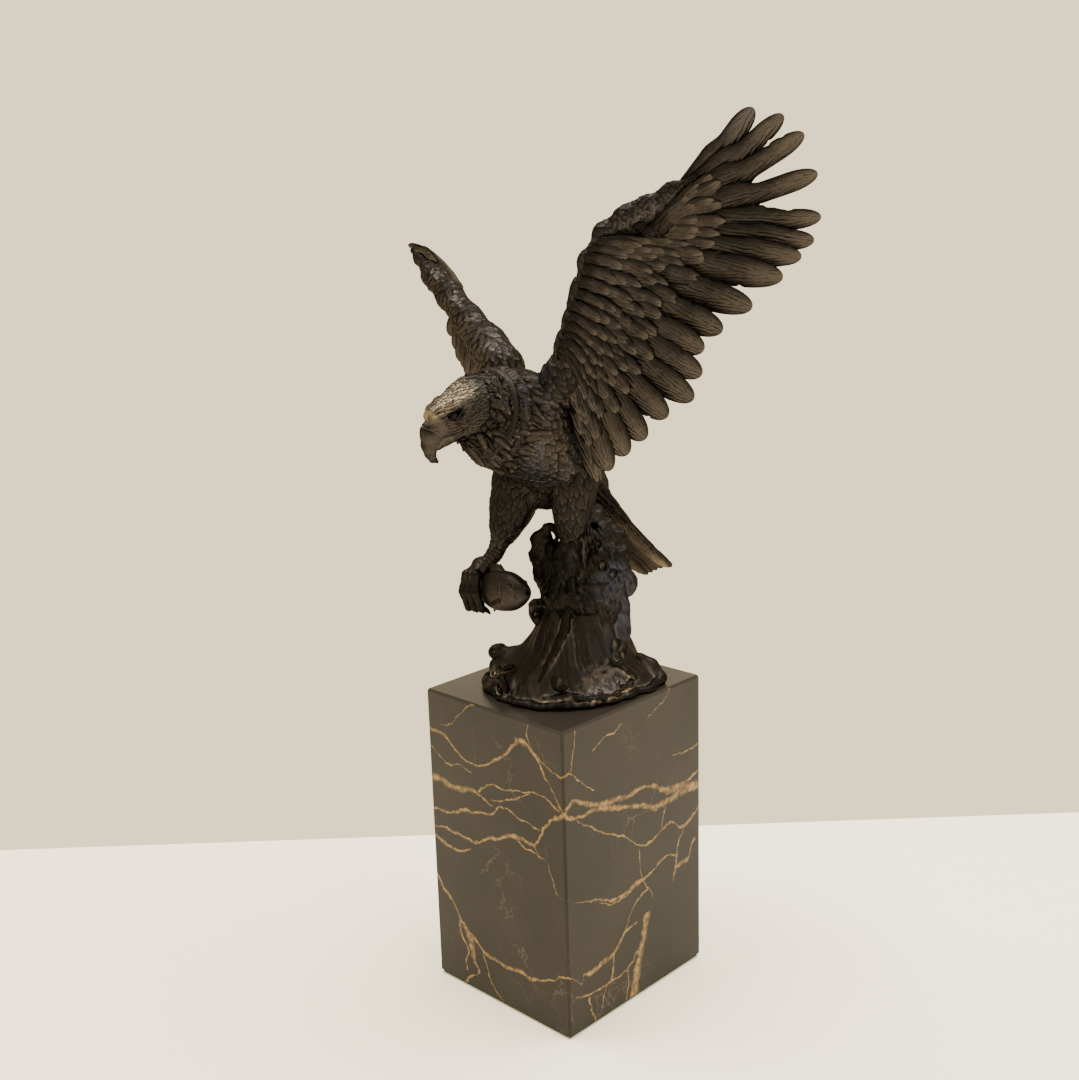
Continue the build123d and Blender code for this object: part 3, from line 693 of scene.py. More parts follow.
def leg_skin(shape, thigh_line, shank_line, seed):
    """Shaggy feathers on the thigh, scutes on the shank."""
    p = shape.points
    thigh = lifted(thigh_line)[:, :3]
    way = unit(thigh[-1] - thigh[0])
    along = (p - thigh[-1]) @ way
    length = 8.5 + 1.5 * lattice_noise(p, 7.0, seed)
    roots = scatter(p, along < -3.5, length * 0.30, seed + 1)
    ways = ruffled(shape, roots, np.repeat(way[None], len(roots), axis=0), 0.38, seed + 2)
    lengths = length[roots] * np.random.default_rng(seed).uniform(0.8, 1.3, len(roots))
    relief = feather_relief(shape, roots, ways, lengths, lengths * 0.42, 1.25, point=0.3, seed=seed + 3)
    shank = lifted(shank_line)[:, :3]
    gap = np.full(len(p), 99.0)
    place = np.zeros(len(p))
    walked = 0.0
    for a, b in zip(shank, shank[1:]):
        span = np.linalg.norm(b - a)
        t = np.clip((p - a) @ (b - a) / span ** 2, 0, 1)
        d = np.linalg.norm(p - a - t[:, None] * (b - a), axis=1)
        nearer = d < gap
        gap = np.where(nearer, d, gap)
        place = np.where(nearer, walked + t * span, place)
        walked += span
    ring = (place / 2.3) % 1
    ends = smooth(0.5, 2.5, place) * smooth(0.5, 2.5, walked - place)
    scutes = 0.34 * (ring ** 2.5) * smooth(7.0, 5.5, gap) * ends * (relief < 0.05)
    shape.push(relief + scutes - 0.2)


def toe(clay, knuckle, middle, tip, thick, talon):
    """Toe with swollen pads, and a talon that curves down from it."""
    rows = curve([knuckle, middle, tip], np.linspace(0, 1, 9))
    swell = thick * (1 + 0.16 * np.cos(np.linspace(0, 4 * math.pi, 9)))
    clay.limb(np.column_stack([rows, swell * np.linspace(1.05, 0.85, 9)]), 0.8)
    nail = curve([tip, tip + talon * 0.55 + vec(0, 0, 0.8), tip + talon], np.linspace(0, 1, 6))
    clay.limb(np.column_stack([nail, thick * np.array([0.72, 0.66, 0.56, 0.44, 0.30, 0.14])]), 0.3)


LEFT_THIGH = [(13.5, -3, 62, 13.0), (14.5, -5, 50, 12.2), (15, -6.5, 40, 10.0), (15.2, -8, 30, 7.6),
              (15.2, -9, 22, 5.6)]
LEFT_SHANK = [(15.2, -9, 24, 4.6), (14.8, -10, 16, 4.0), (14.2, -10, 6, 4.3)]


def left_leg_piece(bronze):
    clay = Clay(up(-4, -34, -14), up(32, 16, 76), 0.42)
    clay.limb(lifted(LEFT_THIGH), 4)
    clay.limb(lifted([(14, 0, 58, 12), (15, 2, 42, 7)]), 4)
    clay.limb(lifted(LEFT_SHANK), 2)
    ball = up(14.0, -9.5, 4.0)
    clay.ball(ball, (5.4, 5.4, 4.2), 2)
    toe(clay, ball, up(10.5, -15.5, 2.6), up(7.5, -18.5, -2.5), 2.6, vec(-2.0, -2.5, -5.0))
    toe(clay, ball, up(15.0, -17.5, 2.6), up(15.0, -21.0, -3.0), 2.7, vec(-0.5, -2.5, -5.5))
    toe(clay, ball, up(20.5, -14.5, 2.6), up(23.5, -17.0, -1.5), 2.6, vec(2.5, -1.8, -4.5))
    toe(clay, ball, up(16.0, -2.5, 3.0), up(17.5, 2.5, 0.5), 2.8, vec(0.8, 3.5, -4.5))
    shape = clay.skin()
    leg_skin(shape, LEFT_THIGH, LEFT_SHANK, 30)
    return body_object("left_leg_casting", weathered(shape, darker=0.40), bronze, ["left_leg"])


RIGHT_THIGH = [(-14.5, -11, 62, 13.0), (-15.5, -15, 50, 13.0), (-16.5, -19, 38, 11.2), (-17, -23, 28, 8.4),
               (-17.5, -26.5, 20, 5.4)]
RIGHT_SHANK = [(-17.5, -26.5, 22, 4.4), (-18.5, -30, 14.5, 3.9), (-22, -37, 6.5, 4.2)]
FISH_WAY = unit(vec(0.965, -0.17, 0.16))
FISH_GRIP = up(-21, -35.0, -4)
FISH_SIDE = unit(np.cross(FISH_WAY, vec(0, 0, 1)))
FISH_UP = np.cross(FISH_SIDE, FISH_WAY)


def round_fish(ahead, side, height):
    return FISH_GRIP + FISH_WAY * ahead + FISH_SIDE * side + FISH_UP * height


def right_leg_piece(bronze):
    clay = Clay(up(-40, -62, -24), up(12, 8, 76), 0.46)
    clay.limb(lifted(RIGHT_THIGH), 4)
    clay.limb(lifted([(-9, -13, 54, 9.5), (-10, -16.5, 43, 8.2), (-12.5, -20.5, 33, 6.4),
                      (-15, -24.5, 25, 4.2)]), 4)
    clay.limb(lifted([(-3, -10, 57, 10.5), (-1.5, -8.5, 48, 8.5), (-0.5, -7.5, 42, 6.0)]), 5)
    clay.limb(lifted([(-14.5, -6, 56, 11), (-16, -12, 34, 7)]), 4)
    clay.limb(lifted(RIGHT_SHANK), 2)
    palm = round_fish(-1, 1.0, 12.6)
    clay.limb([(*up(-22, -37, 6.5), 4.0), (*palm, 4.6)], 2)
    for ahead, way in ((-6.5, 1), (-0.5, 1), (5.5, 1), (0.5, -1)):
        knuckle = round_fish(ahead * 0.75, way * 7.6, 8.8)
        middle = round_fish(ahead, way * 9.8, 0.5)
        tip = round_fish(ahead, way * 7.8, -8.4)
        clay.limb([(*palm, 3.0), (*knuckle, 2.3)], 1.0)
        toe(clay, knuckle, middle, tip, 2.2, -FISH_SIDE * way * 5.0 - FISH_UP * 4.0)
    shape = clay.skin()
    leg_skin(shape, RIGHT_THIGH, RIGHT_SHANK, 50)
    weathered(shape)
    thigh_shade = smooth(PERCH + 14, PERCH + 30, shape.points[:, 2])
    shape.paint["dark_patina_and_shade"] = np.clip(shape.paint["dark_patina_and_shade"] + 0.62 * thigh_shade, 0, 1)
    return body_object("right_leg_casting", shape, bronze, ["right_leg"])


# ---- Fish ----------------------------------------------------------------------------------------

FISH_NOSE = 37.2     # from the grip to the nose, along the fish
FISH_SHAPE = [(0.0, 1.2, 1.6), (2.0, 3.2, 4.4), (7.0, 5.2, 7.6), (14.0, 6.9, 10.0), (24.0, 7.3, 10.6),
              (32.0, 6.3, 9.2), (39.0, 4.2, 6.2), (44.0, 2.4, 3.8), (47.0, 1.6, 3.2)]


def fish_piece(bronze):
    clay = Clay(FISH_GRIP - vec(26, 22, 22), FISH_GRIP + vec(42, 20, 24), 0.36)
    rows = curve(FISH_SHAPE, np.linspace(0, 1, 60))
    turn = [FISH_WAY, FISH_SIDE, FISH_UP]
    for back, half_width, half_height in rows:
        clay.ball(round_fish(FISH_NOSE - back, 0, 0), (2.2, half_width, half_height), 1.2, turn)
    # Open mouth with thick lips, gill cover and eyes
    for height in (1.5, -1.5):
        clay.limb([(*round_fish(FISH_NOSE - 0.2, 0, height), 1.3),
                   (*round_fish(FISH_NOSE - 4, 3.6, height * 1.4), 0.9)],
                  0.8)
        clay.limb([(*round_fish(FISH_NOSE - 0.2, 0, height), 1.3),
                   (*round_fish(FISH_NOSE - 4, -3.6, height * 1.4), 0.9)],
                  0.8)
    clay.limb([(*round_fish(FISH_NOSE + 2, 0, 0), 1.3), (*round_fish(FISH_NOSE - 3, 0, 0), 0.8)], 0.5,
              remove=True)
    for side in (1, -1):
        clay.limb([(*round_fish(FISH_NOSE - 1, side * 2.6, 0), 0.45),
                   (*round_fish(FISH_NOSE - 6, side * 4.6, -0.6), 0.4)],
                  0.4, remove=True)
        eye = round_fish(FISH_NOSE - 7.0, side * 4.7, 3.6)
        clay.ball(eye, (1.7, 0.9, 1.7), 0.5, turn)
        clay.ball(eye + FISH_SIDE * side * 0.8, (0.7, 0.5, 0.7), 0.2, turn, remove=True)
        angles = np.linspace(-1.15, 1.15, 9)
        gill = [(*round_fish(FISH_NOSE - 11.5 - 2.6 * math.cos(a), side * (7.3 - 1.4 * a * a), 7.6
                             * math.sin(a)), 0.55)
                for a in angles]
        clay.limb(gill, 0.4, remove=True)
        fin = [(*round_fish(FISH_NOSE - 15, side * 6.6, -3.5), 1.2),
               (*round_fish(FISH_NOSE - 21, side * 7.8, -5.5), 1.0)]
        clay.limb(fin, 0.8, flat=(FISH_SIDE, 0.6))
    # Tail, back and belly fins, thin and ribbed
    for tip_height in (9.5, 6.5, 3.0, -1.0, -5.0, -8.5):
        tail = [(*round_fish(FISH_NOSE - 45, 0, tip_height * 0.25), 1.5),
                (*round_fish(FISH_NOSE - 51.5 + 0.35 * abs(tip_height - 1), 1.0, tip_height * 0.8), 1.2)]
        clay.limb(tail, 0.7, flat=(FISH_SIDE, 0.55))
    for back in np.arange(17, 31, 2.4):
        ray = [(*round_fish(FISH_NOSE - back, 0, 9.4), 1.1),
               (*round_fish(FISH_NOSE - back - 3.5, 0, 13.4), 0.8)]
        clay.limb(ray, 0.5, flat=(FISH_SIDE, 0.6))
    shape = clay.skin()
    p = shape.points - FISH_GRIP
    ahead, side, height = p @ FISH_WAY, p @ FISH_SIDE, p @ FISH_UP
    row = np.floor(ahead / 1.7)
    u = (ahead / 1.7) % 1 - 0.5
    v = (height / 1.7 + 0.5 * (row % 2)) % 1 - 0.5
    scales = 0.13 * (0.5 - np.sqrt(u * u + v * v)) * (ahead < FISH_NOSE - 14) * (ahead > FISH_NOSE - 52)
    shape.push(scales)
    weathered(shape, None, 0.05)
    return body_object("fish_casting", shape, bronze, ["fish"])


# ---- Feathers that stand free: wings and tail ----------------------------------------------------

def plume(root, tip, width, thick, facing, seed, rings=66, around=18, bow=(0.04, 0.03), tilt=0.0,
          round_from=0.74,
          hidden=0.2, finger=None):
    """One cast feather as a closed lens-shaped body, with quill, barbs, small splits and a rounded end."""
    chance = np.random.default_rng(seed)
    length = np.linalg.norm(tip - root)
    ahead = unit(tip - root)
    facing = unit(facing - ahead * (facing @ ahead))
    across = np.cross(ahead, facing)
    facing, across = (facing * math.cos(tilt) + across * math.sin(tilt),
                      across * math.cos(tilt) - facing * math.sin(tilt))
    t = 0.999 * (1 - (1 - np.linspace(0, 1, rings)) ** 1.5)[:, None]
    middle = (root + tip) / 2 + (across * bow[0] + facing * bow[1]) * length
    centre = (1 - t) ** 2 * root + 2 * t * (1 - t) * middle + t ** 2 * tip
    end = np.clip((t - round_from) / (1 - round_from), 0, 1)
    half = 0.5 * width * (0.70 + 0.30 * smooth(0, 0.25, t))
    if finger is not None:      # narrows into a free finger of this width beyond a share of the length
        half = half + (0.5 * finger[0] - half) * smooth(finger[1], finger[1] + 0.13, t)
    half = half * np.sqrt(1 - end ** 2.2)
    angle = np.linspace(0, 2 * math.pi, around, endpoint=False)[None]
    x = np.sign(np.cos(angle)) * np.abs(np.cos(angle)) ** 0.85
    for split in chance.uniform(0.3, 0.9, 3):
        edge = chance.choice((-1, 1))
        half = half * (1 - 0.16 * np.exp(-((t - split) / 0.012) ** 2) * smooth(0, 0.8, x * edge))
    body = thick * (1 - 0.25 * t) * np.sqrt(1 - np.clip((t - 0.94) / 0.06, 0, 1) ** 2)
    sideways = half * x
    which = np.sign(np.sin(angle))
    ridges = 0.20 * np.sin(2.1 * np.abs(sideways) - 0.30 * t * length + seed) * smooth(1.0, 0.7, np.abs(x))
    height = which * body * (0.5 * np.abs(np.sin(angle)) ** 0.55 + 0.5 * ridges * (around > 14))
    flat = np.sin(angle) ** 2
    height = height + which * flat * 0.32 * np.exp(-(sideways / 0.75) ** 2) * smooth(0.97, 0.9, t)
    points = centre[:, None, :] + across * sideways[..., None] + facing * height[..., None]
    points = points.reshape(-1, 3)
    ring = np.arange(rings - 1)[:, None] * around
    step = np.arange(around)[None]
    after = (step + 1) % around
    faces = np.stack([ring + step, ring + after, ring + around + after, ring + around + step],
                     axis=-1).reshape(-1, 4)
    caps = []
    count = len(points)
    for start, order in ((0, 1), ((rings - 1) * around, -1)):
        a, b = start + step[0], start + after[0]
        if order < 0:
            a, b = b, a
        caps.append(np.stack([np.full(around, count), b, a, a], axis=-1))
        points = np.vstack([points, points[start:start + around].mean(axis=0)])
        count += 1
    shape = Shape(points, np.vstack([faces] + caps))
    share = np.abs(x) * np.ones_like(t)
    rub_and_highlight = 0.16 + 0.26 * (1 - share ** 2) + 0.26 * smooth(0.70, 1, t)
    # Painted shade along both edges, where the feathers overlap, and towards the root hidden under the coverts
    dark_patina_and_shade = 0.85 * smooth(0.62, 1.0, share) * smooth(1.0, 0.96, t) + 0.7 * smooth(hidden + 0.16, hidden, t)
    ends = np.zeros(2)
    shape.paint = {"rub_and_highlight": np.concatenate([(rub_and_highlight * np.ones_like(share)).ravel(), ends + 0.4]),
                   "dark_patina_and_shade": np.concatenate([np.clip(dark_patina_and_shade, 0, 1).ravel(), ends]),
                   "painted_blue_sheen": np.concatenate([np.zeros(share.size), ends]),
                   "along": np.concatenate([(1 + t * length * np.ones_like(share)).ravel(), ends]),
                   "across": np.concatenate([np.abs(sideways).ravel(), ends])}
    return shape


ARM_LINE = [(0.02, 0.10, 2.0), (0.12, 0.00, 5.0), (0.24, -0.13, 7.0), (0.36, -0.25, 8.0), (0.47, -0.29, 8.0),
            (0.56, -0.23, 6.5), (0.65, -0.11, 4.0), (0.76, -0.01, 2.0)]
ARM_RADII = [8.5, 7.0, 5.6, 5.0, 4.6, 4.0, 3.0, 1.8]
ROOT_LINE = [(0.56, 0.03, 3.0), (0.54, -0.05, 4.0), (0.50, -0.13, 6.0), (0.42, -0.15, 7.0),
             (0.30, -0.08, 6.0),
             (0.18, 0.02, 5.0), (0.09, 0.08, 3.0), (0.03, 0.14, 2.0)]
# Feather tips of each wing in shares of span and chord, and millimetres of rise
RAISED_TIPS = [(1.000, 0.03, 1), (1.032, 0.24, 0), (1.025, 0.45, -1), (0.962, 0.72, -2), (0.873, 0.95, -4),
               (0.810, 1.02, -5), (0.753, 1.02, -6), (0.674, 1.01, -6), (0.551, 0.97, -6), (0.443, 0.90, -6),
               (0.361, 0.88, -6), (0.291, 1.00, -6), (0.209, 1.08, -6), (0.114, 1.00, -6), (0.010, 0.97, -6),
               (-0.070, 0.93, -6), (-0.145, 0.90, -6), (-0.200, 0.89, -5)]
SPREAD_TIPS = [(1.000, 0.02, 1), (1.020, 0.20, -2), (1.010, 0.45, -3), (0.960, 0.72, -5), (0.880, 0.94, -7),
               (0.810, 1.00, -9), (0.740, 1.02, -11), (0.670, 1.00, -11), (0.590, 0.98, -12),
               (0.510, 0.97, -12),
               (0.430, 1.02, -12), (0.350, 1.06, -12), (0.270, 1.08, -11), (0.190, 1.07, -10),
               (0.110, 1.03, -9),
               (0.040, 1.00, -8), (-0.020, 0.98, -7)]


WING_SPAN = 158.0        # shoulder to the tip of the longest feather
WING_CHORD = 58.0        # leading edge to the tips of the rear feathers


class Wing:
    """A wing's own frame: out along the span, back across the chord, and up out of its upper side."""

    def __init__(self, side, span, underside, tips, camber):
        self.side = side
        self.camber = camber
        self.origin = up(side * 22, -28.5, 108.7)
        self.span = unit(span)
        self.upper = -unit(underside - self.span * (underside @ self.span))
        self.chord = np.cross(self.span, self.upper) * -side
        self.tips = tips

    def at(self, rows):
        rows = np.array(rows, float)
        rows[..., 2] += self.camber * np.sin(math.pi * np.clip((rows[..., 1] + 0.30) / 1.30, 0, 1)) ** 2
        return (self.origin + self.span * rows[..., :1] * WING_SPAN + self.chord * rows[..., 1:2]
                * WING_CHORD
                + self.upper * rows[..., 2:3])


def wing_arm(wing):
    """Arm and the fleshy web behind it, covered in small coverts."""
    line, radii = ARM_LINE, np.array(ARM_RADII) * 0.94
    if wing.side < 0:           # the folded-forward wing shows a broad band out to its tip
        line = ARM_LINE + [(0.87, 0.02, 1.5), (0.97, 0.02, 1.0)]
        radii = np.append(np.array(ARM_RADII) * 1.45, [2.5, 1.5])
    arm = wing.at(line)
    roots = wing.at(ROOT_LINE)
    tips = wing.at(wing.tips)
    every = np.vstack([arm, roots])
    clay = Clay(every.min(axis=0) - 16, every.max(axis=0) + 16, 0.62 if wing.side > 0 else 0.68)
    clay.limb(np.column_stack([arm, radii]), 4)
    for place in np.linspace(0.10, 1.0, 9):
        front = curve(arm[::-1], place)
        root = curve(roots, place)
        tip = curve(tips, place)
        back = root + unit(tip - root) * 10 + wing.upper * wing.camber * 0.45
        rows = [(*front, 5.0), (*((front + back) / 2 + wing.upper * wing.camber * 0.25), 4.6), (*back, 2.6)]
        clay.limb(rows, 4, flat=(wing.upper, 0.55))
    rear = up(wing.side * 21, -8, 84)
    clay.limb([(*arm[0], 9.5), (*((arm[0] + rear) / 2 + wing.upper), 9.0), (*rear, 6.5)], 5,
              flat=(wing.upper, 0.7))
    clay.limb([(*up(wing.side * 16, -25, 98), 9.0), (*arm[0], 9.3)], 4)
    shape = clay.skin()
    p = shape.points
    out, back = (p - wing.origin) @ wing.span, (p - wing.origin) @ wing.chord
    length = 5.0 + 4.0 * smooth(-14, 12, back) - 1.2 * smooth(40, 100, out) + 0.8 * lattice_noise(p, 8.0, 61)
    picked = scatter(p, np.ones(len(p), bool), length * 0.33, 62)
    places = np.linspace(0, 1, 40)
    lines = curve(tips, places) - curve(roots, places)
    nearest = ((p[picked][:, None] - curve(roots, places)[None]) ** 2).sum(axis=2).argmin(axis=1)
    ways = ruffled(shape, picked, unit(unit(lines[nearest]) + wing.chord * 0.25), 0.30, 63)
    lengths = length[picked] * np.random.default_rng(64).uniform(0.85, 1.2, len(picked))
    relief = feather_relief(shape, picked, ways, lengths, lengths * 0.62, 1.0, point=0.5, seed=65)
    shape.push(relief - 0.3)
    # Painted bluish sheen along the leading edge of the left wing; painted light on the right wing, which gets more
    # rubbed colour because it faces the light
    edge = smooth(6, -12, back) * smooth(0.2, 0.7, 0.5 + 0.5 * lattice_noise(p, 18.0, 66))
    return weathered(shape, (0.45 if wing.side > 0 else 0.0) * edge, 0.0 if wing.side > 0 else 0.16)


def arch_of(wing, line):
    """Height of a flight feather's arch at half its length."""
    return 0.5 * (0.05 * np.linalg.norm(line) + 1.5 * wing.camber)


def wing_piece(wing, name, node, bronze):
    shapes = [wing_arm(wing)]
    count = len(wing.tips)
    places = np.linspace(0, 1, count)
    roots = curve(wing.at(ROOT_LINE), places)
    tips = wing.at(wing.tips)
    chance = np.random.default_rng(70 + wing.side)
    for number, (root, tip) in enumerate(zip(roots, tips)):
        before, after = tips[max(number - 1, 0)], tips[min(number + 1, count - 1)]
        apart = np.linalg.norm(np.cross(after - before, unit(tip - root))) / (2 if 0 < number < count - 1
                                                                              else 1)
        free = number < 7
        width = (15.5, 18, 19, 19, 18, 16.5, 16)[number] if free else float(np.clip(apart * 1.6, 12.0, 17.0))
        arch = 0.05 + 1.5 * wing.camber / np.linalg.norm(tip - root)
        finger = ((10.6, 0.64), (10.0, 0.62), (10.4, 0.56), (10.6, 0.58), (10.8, 0.70), (11.4, 0.76),
                  (12.0, 0.78))
        shapes.append(plume(root - unit(tip - root) * 4, tip, width, 2.0, wing.upper, 80 + number,
                            bow=(-0.035 * wing.side, arch), tilt=0.19 * wing.side,
                            round_from=0.84 if free else 0.72, hidden=0.40, rings=54, around=24,
                            finger=finger[number] if free else None))
    rows = {-1: [(0.55, 19, 1.2, 1.6), (0.46, 20, 1.9, 1.6), (0.37, 22, 2.6, 1.6), (0.28, 23, 3.4, 1.6),
                 (0.19, 23, 4.2, 1.6), (0.10, 23, 5.0, 1.5)],
            1: [(0.48, 18, 1.4, 1.8), (0.33, 20, 2.4, 1.8), (0.20, 20, 3.3, 1.8)]}
    for face in (-1, 1):
        for reach, number, lift, thick in rows[face]:
            for step, place in enumerate(np.linspace(0.0, 1.0, number)):
                if place < 0.28 and reach < 0.30:     # the hand shows the feathers' bare bases
                    continue
                root = curve(wing.at(ROOT_LINE), place)
                tip = curve(tips, place)
                wide = np.linalg.norm(curve(tips, min(place + 0.5 / number, 1))
                                      - curve(tips, max(place - 0.5 / number, 0)))
                wide *= 0.70 + 0.25 * reach
                near = reach * (0.86 + 0.30 * place) * chance.uniform(0.92, 1.08)
                raised = 4 * near * (1 - near) * arch_of(wing, tip - root)
                first = max(near - 0.30, -0.16)
                start = root + (tip - root) * first + wing.upper * (face * (lift + 0.5)
                                                                    + 4 * max(first, 0) * (1 - first)
                                                                    * arch_of(wing, tip - root))
                stop = root + (tip - root) * near + wing.upper * (face * lift + raised)
                stop = stop + unit(np.cross(wing.upper, tip - root)) * chance.uniform(-1.3, 1.3)
                shapes.append(plume(start, stop, float(np.clip(wide * 1.35, 7.0, 11.0)), thick, wing.upper,
                                    int(200 * reach) + step, rings=21 if face < 0 else 18, around=12,
                                    bow=(chance.uniform(-0.05, 0.05), 0.04 * face),
                                    tilt=0.16 * wing.side, round_from=0.45, hidden=0.25))
    whole = joined(shapes)
    back = (whole.points - wing.origin) @ wing.chord
    out = (whole.points - wing.origin) @ wing.span
    # Painted shade on the underside of the left wing, darker towards its tip and leading edge, and a painted bluish
    # sheen along its leading edge
    under = smooth(0.2, -0.4, whole.normals() @ wing.upper)
    dark = (0.20 + 0.85 * smooth(15, 80, out) + 0.20 * smooth(15, -5, back)) * under * (wing.side > 0)
    whole.paint["dark_patina_and_shade"] = np.clip(whole.paint["dark_patina_and_shade"] + dark
                                  * (1 + 0.4 * lattice_noise(whole.points, 16.0, 68)), 0, 1)
    whole.paint["painted_blue_sheen"] = np.maximum(whole.paint["painted_blue_sheen"], (0.35 if wing.side > 0 else 0.0)
                                      * smooth(20, 0, back)
                                      * smooth(0.1, 0.8, lattice_noise(whole.points, 20.0, 67)))
    return body_object(name, whole, bronze, [node])


TAIL_ROOTS = [(13.0, 9, 48), (8, 16, 47), (0, 20, 46), (-8, 18, 45), (-12, 14, 44)]
TAIL_TIPS = [(18, 67.0, -7.5), (13, 73, -11), (6, 77.5, -13.5), (-7, 84.5, -18.5), (-17, 89.5, -22.5)]


def tail_piece(bronze):
    roots, tips = lifted_points(TAIL_ROOTS), lifted_points(TAIL_TIPS)
    down_the_tail = unit(tips.mean(axis=0) - roots.mean(axis=0))
    upper = unit(np.cross(down_the_tail, tips[-1] - tips[0]))
    upper = upper * np.sign(upper[2])
    shapes = []
    count = 9
    for number, place in enumerate(np.linspace(0, 1, count)):
        root, tip = curve(roots, place), curve(tips, place)
        arch = upper * (2.5 * math.sin(math.pi * place))
        shapes.append(plume(root, tip + arch, 13.0, 2.8, upper, 300 + number, bow=(0.0, -0.035), tilt=-0.16,
                            round_from=0.88, hidden=0.3, around=20, rings=84))
        # Painted light on the first feather, where the light from above falls on its top
        if number == 0:
            shapes[0].paint["rub_and_highlight"] += 0.35
    for face in (-1, 1):
        for reach, number, lift in ((0.50, 10, 1.4), (0.34, 11, 2.3), (0.20, 11, 3.0)):
            for step, place in enumerate(np.linspace(0, 1, number)):
                root, tip = curve(roots, place), curve(tips, place)
                shapes.append(plume(root + upper * face * lift, root + (tip - root) * reach + upper * face
                                    * lift, 8.2, 2.2,
                                    upper, 330 + step + number, rings=26, around=12, bow=(0, 0.02),
                                    tilt=-0.15,
                                    round_from=0.6, hidden=0.3))
    whole = joined(shapes)
    first = np.arange(len(whole.points)) < len(shapes[0].points)
    shade = 0.35 + 0.40 * smooth(0.2, -0.4, whole.normals() @ upper)
    whole.paint["dark_patina_and_shade"] = np.clip(whole.paint["dark_patina_and_shade"] + np.where(first, 0.0, shade), 0, 1)
    return body_object("tail_casting", whole, bronze, ["tail_fan"])


def lifted_points(rows):
    return np.array(rows, float) + vec(0, 0, PERCH)


# ---- Water ---------------------------------------------------------------------------------------

def above_plinth(rows):
    """Rows of x, y, height over the plinth and any further values, in the CAD frame."""
    rows = np.array(rows, float)
    rows[:, 2] += PLINTH_TOP
    return rows


FOOT_ANGLES = [-180, -131, -107, -72, -32, -5, 14, 36, 60, 100, 140, 180]
FOOT_RADII = [44, 46.5, 44.5, 44, 41.5, 41, 43.5, 50.5, 47, 42, 42, 44]
TOWARDS_VIEW = unit(vec(0.70, -0.714, 0))     # side that the open basin of the wave is on


def wave_column(clay):
    """The wave's body: a spreading skirt of water drawn up into a leaning column."""
    cut, x, y, z = clay.window(clay.low, clay.low + clay.voxel * clay.counts)
    height = np.clip((z - PLINTH_TOP) / 60.0, 0, 1.05)
    dx, dy = x - (4 + 11 * height), y - 5 * height
    radial = np.sqrt(dx * dx + dy * dy)
    angle = np.degrees(np.arctan2(dy, dx))
    foot = np.interp(angle.ravel(), FOOT_ANGLES, FOOT_RADII).reshape(angle.shape)
    swirl = np.radians(angle) + height * 0.9
    folds = 1.1 * np.sin(5 * swirl + 1.0) + 0.7 * np.sin(9 * swirl + 2.2) + 0.45 * np.sin(17 * swirl)
    reach = 19.0 + (foot - 19.0) * np.clip(1 - height, 0, 1) ** 2.3
    reach = reach + folds * (0.25 + 0.9 * np.clip(1 - height, 0, 1)) * np.clip(height * 5, 0.25, 1)
    reach = reach - 1.8 * np.clip(1 - height * 28, 0, 1) ** 2
    slope = 1 + 2.3 * (foot - 19) / 60 * np.clip(1 - height, 0, 1) ** 1.3
    distance = np.maximum((radial - reach) / np.sqrt(1 + (slope - 1) ** 2), (PLINTH_TOP + 0.15) - z)
    distance = np.maximum(distance, z - (PERCH + 1.5))
    clay.press(cut, distance.astype(np.float32), 1.0)


def ring_rows(centre, first, second, radius, turns, thick, start=0.0, shrink=0.0, lift=None):
    """Rows of a circular or inward-winding rim in the plane of two directions."""
    steps = int(26 * turns) + 2
    rows = []
    for s in np.linspace(0, 1, steps):
        a = start + 2 * math.pi * turns * s
        r = radius * (1 - shrink * s)
        point = centre + first * r * math.cos(a) + second * r * math.sin(a)
        if lift is not None:
            point = point + lift * s
        rows.append((*point, thick * (1 - 0.45 * s)))
    return rows


def carve_bubbles(clay, places, rim=0.25):
    """Round hollows with a soft rim, as burst bubbles leave in foam; rows of x, y, z, radius."""
    for x, y, z, radius in places:
        centre = vec(x, y, z)
        clay.ball(centre - TOWARDS_VIEW * radius * 0.4, (radius + rim,) * 3, 2.2)
    for x, y, z, radius in places:
        centre = vec(x, y, z) + TOWARDS_VIEW * radius * 0.55
        clay.ball(centre, (radius * 0.95, radius * 0.95, radius * 1.25), 0.7, remove=True)


def streaks(shape, axis_point, size, seed):
    """Fine flow lines that run down and round the column."""
    p = shape.points
    height = (p[:, 2] - PLINTH_TOP) / 60.0
    angle = np.arctan2(p[:, 1] - axis_point[1], p[:, 0] - axis_point[0]) + 0.9 * height
    wander = lattice_noise(p, 16.0, seed) * 1.6
    lines = np.sin(23 * angle + 4 * wander) + 0.8 * np.sin(41 * angle + 7 * wander + 1) + 0.5 * np.sin(67
            * angle)
    patch = smooth(-0.5, 0.5, lattice_noise(p, 11.0, seed + 1))
    return size * lines / 2.3 * (0.35 + 0.65 * patch)


def lumps(points, size, seed):
    return (lattice_noise(points, size, seed) + 0.5 * lattice_noise(points, size / 2, seed + 1)
            + 0.25 * lattice_noise(points, size / 4, seed + 2))


MEANDER = [(37.7, -2.2, 19.5, 1.2), (38.7, 3.2, 17.3, 1.2), (40.5, 6.6, 13.4, 1.1), (41.9, 10, 9.7, 1.2),
           (44.1, 4.5, 7.8, 1.2), (44.4, -1.6, 7.6, 1.1), (44.8, -7.5, 5.8, 1.2), (42.8, -15, 5.3, 1.1),
           (39.1, -21.7, 5.4, 1.1), (35.1, -25.7, 6.4, 1.2), (30.6, -29.2, 7.6, 1.1),
           (26.6, -33.3, 6.2, 1.0),
           (20.9, -36.7, 5.6, 0.7)]
FORK = [(35.1, -25.7, 6.4, 1.1), (32.4, -30.0, 4.2, 1.2), (27.5, -35.5, 2.6, 1.1), (19.0, -40.5, 1.9, 0.9),
        (6.0, -43.2, 1.6, 0.9)]


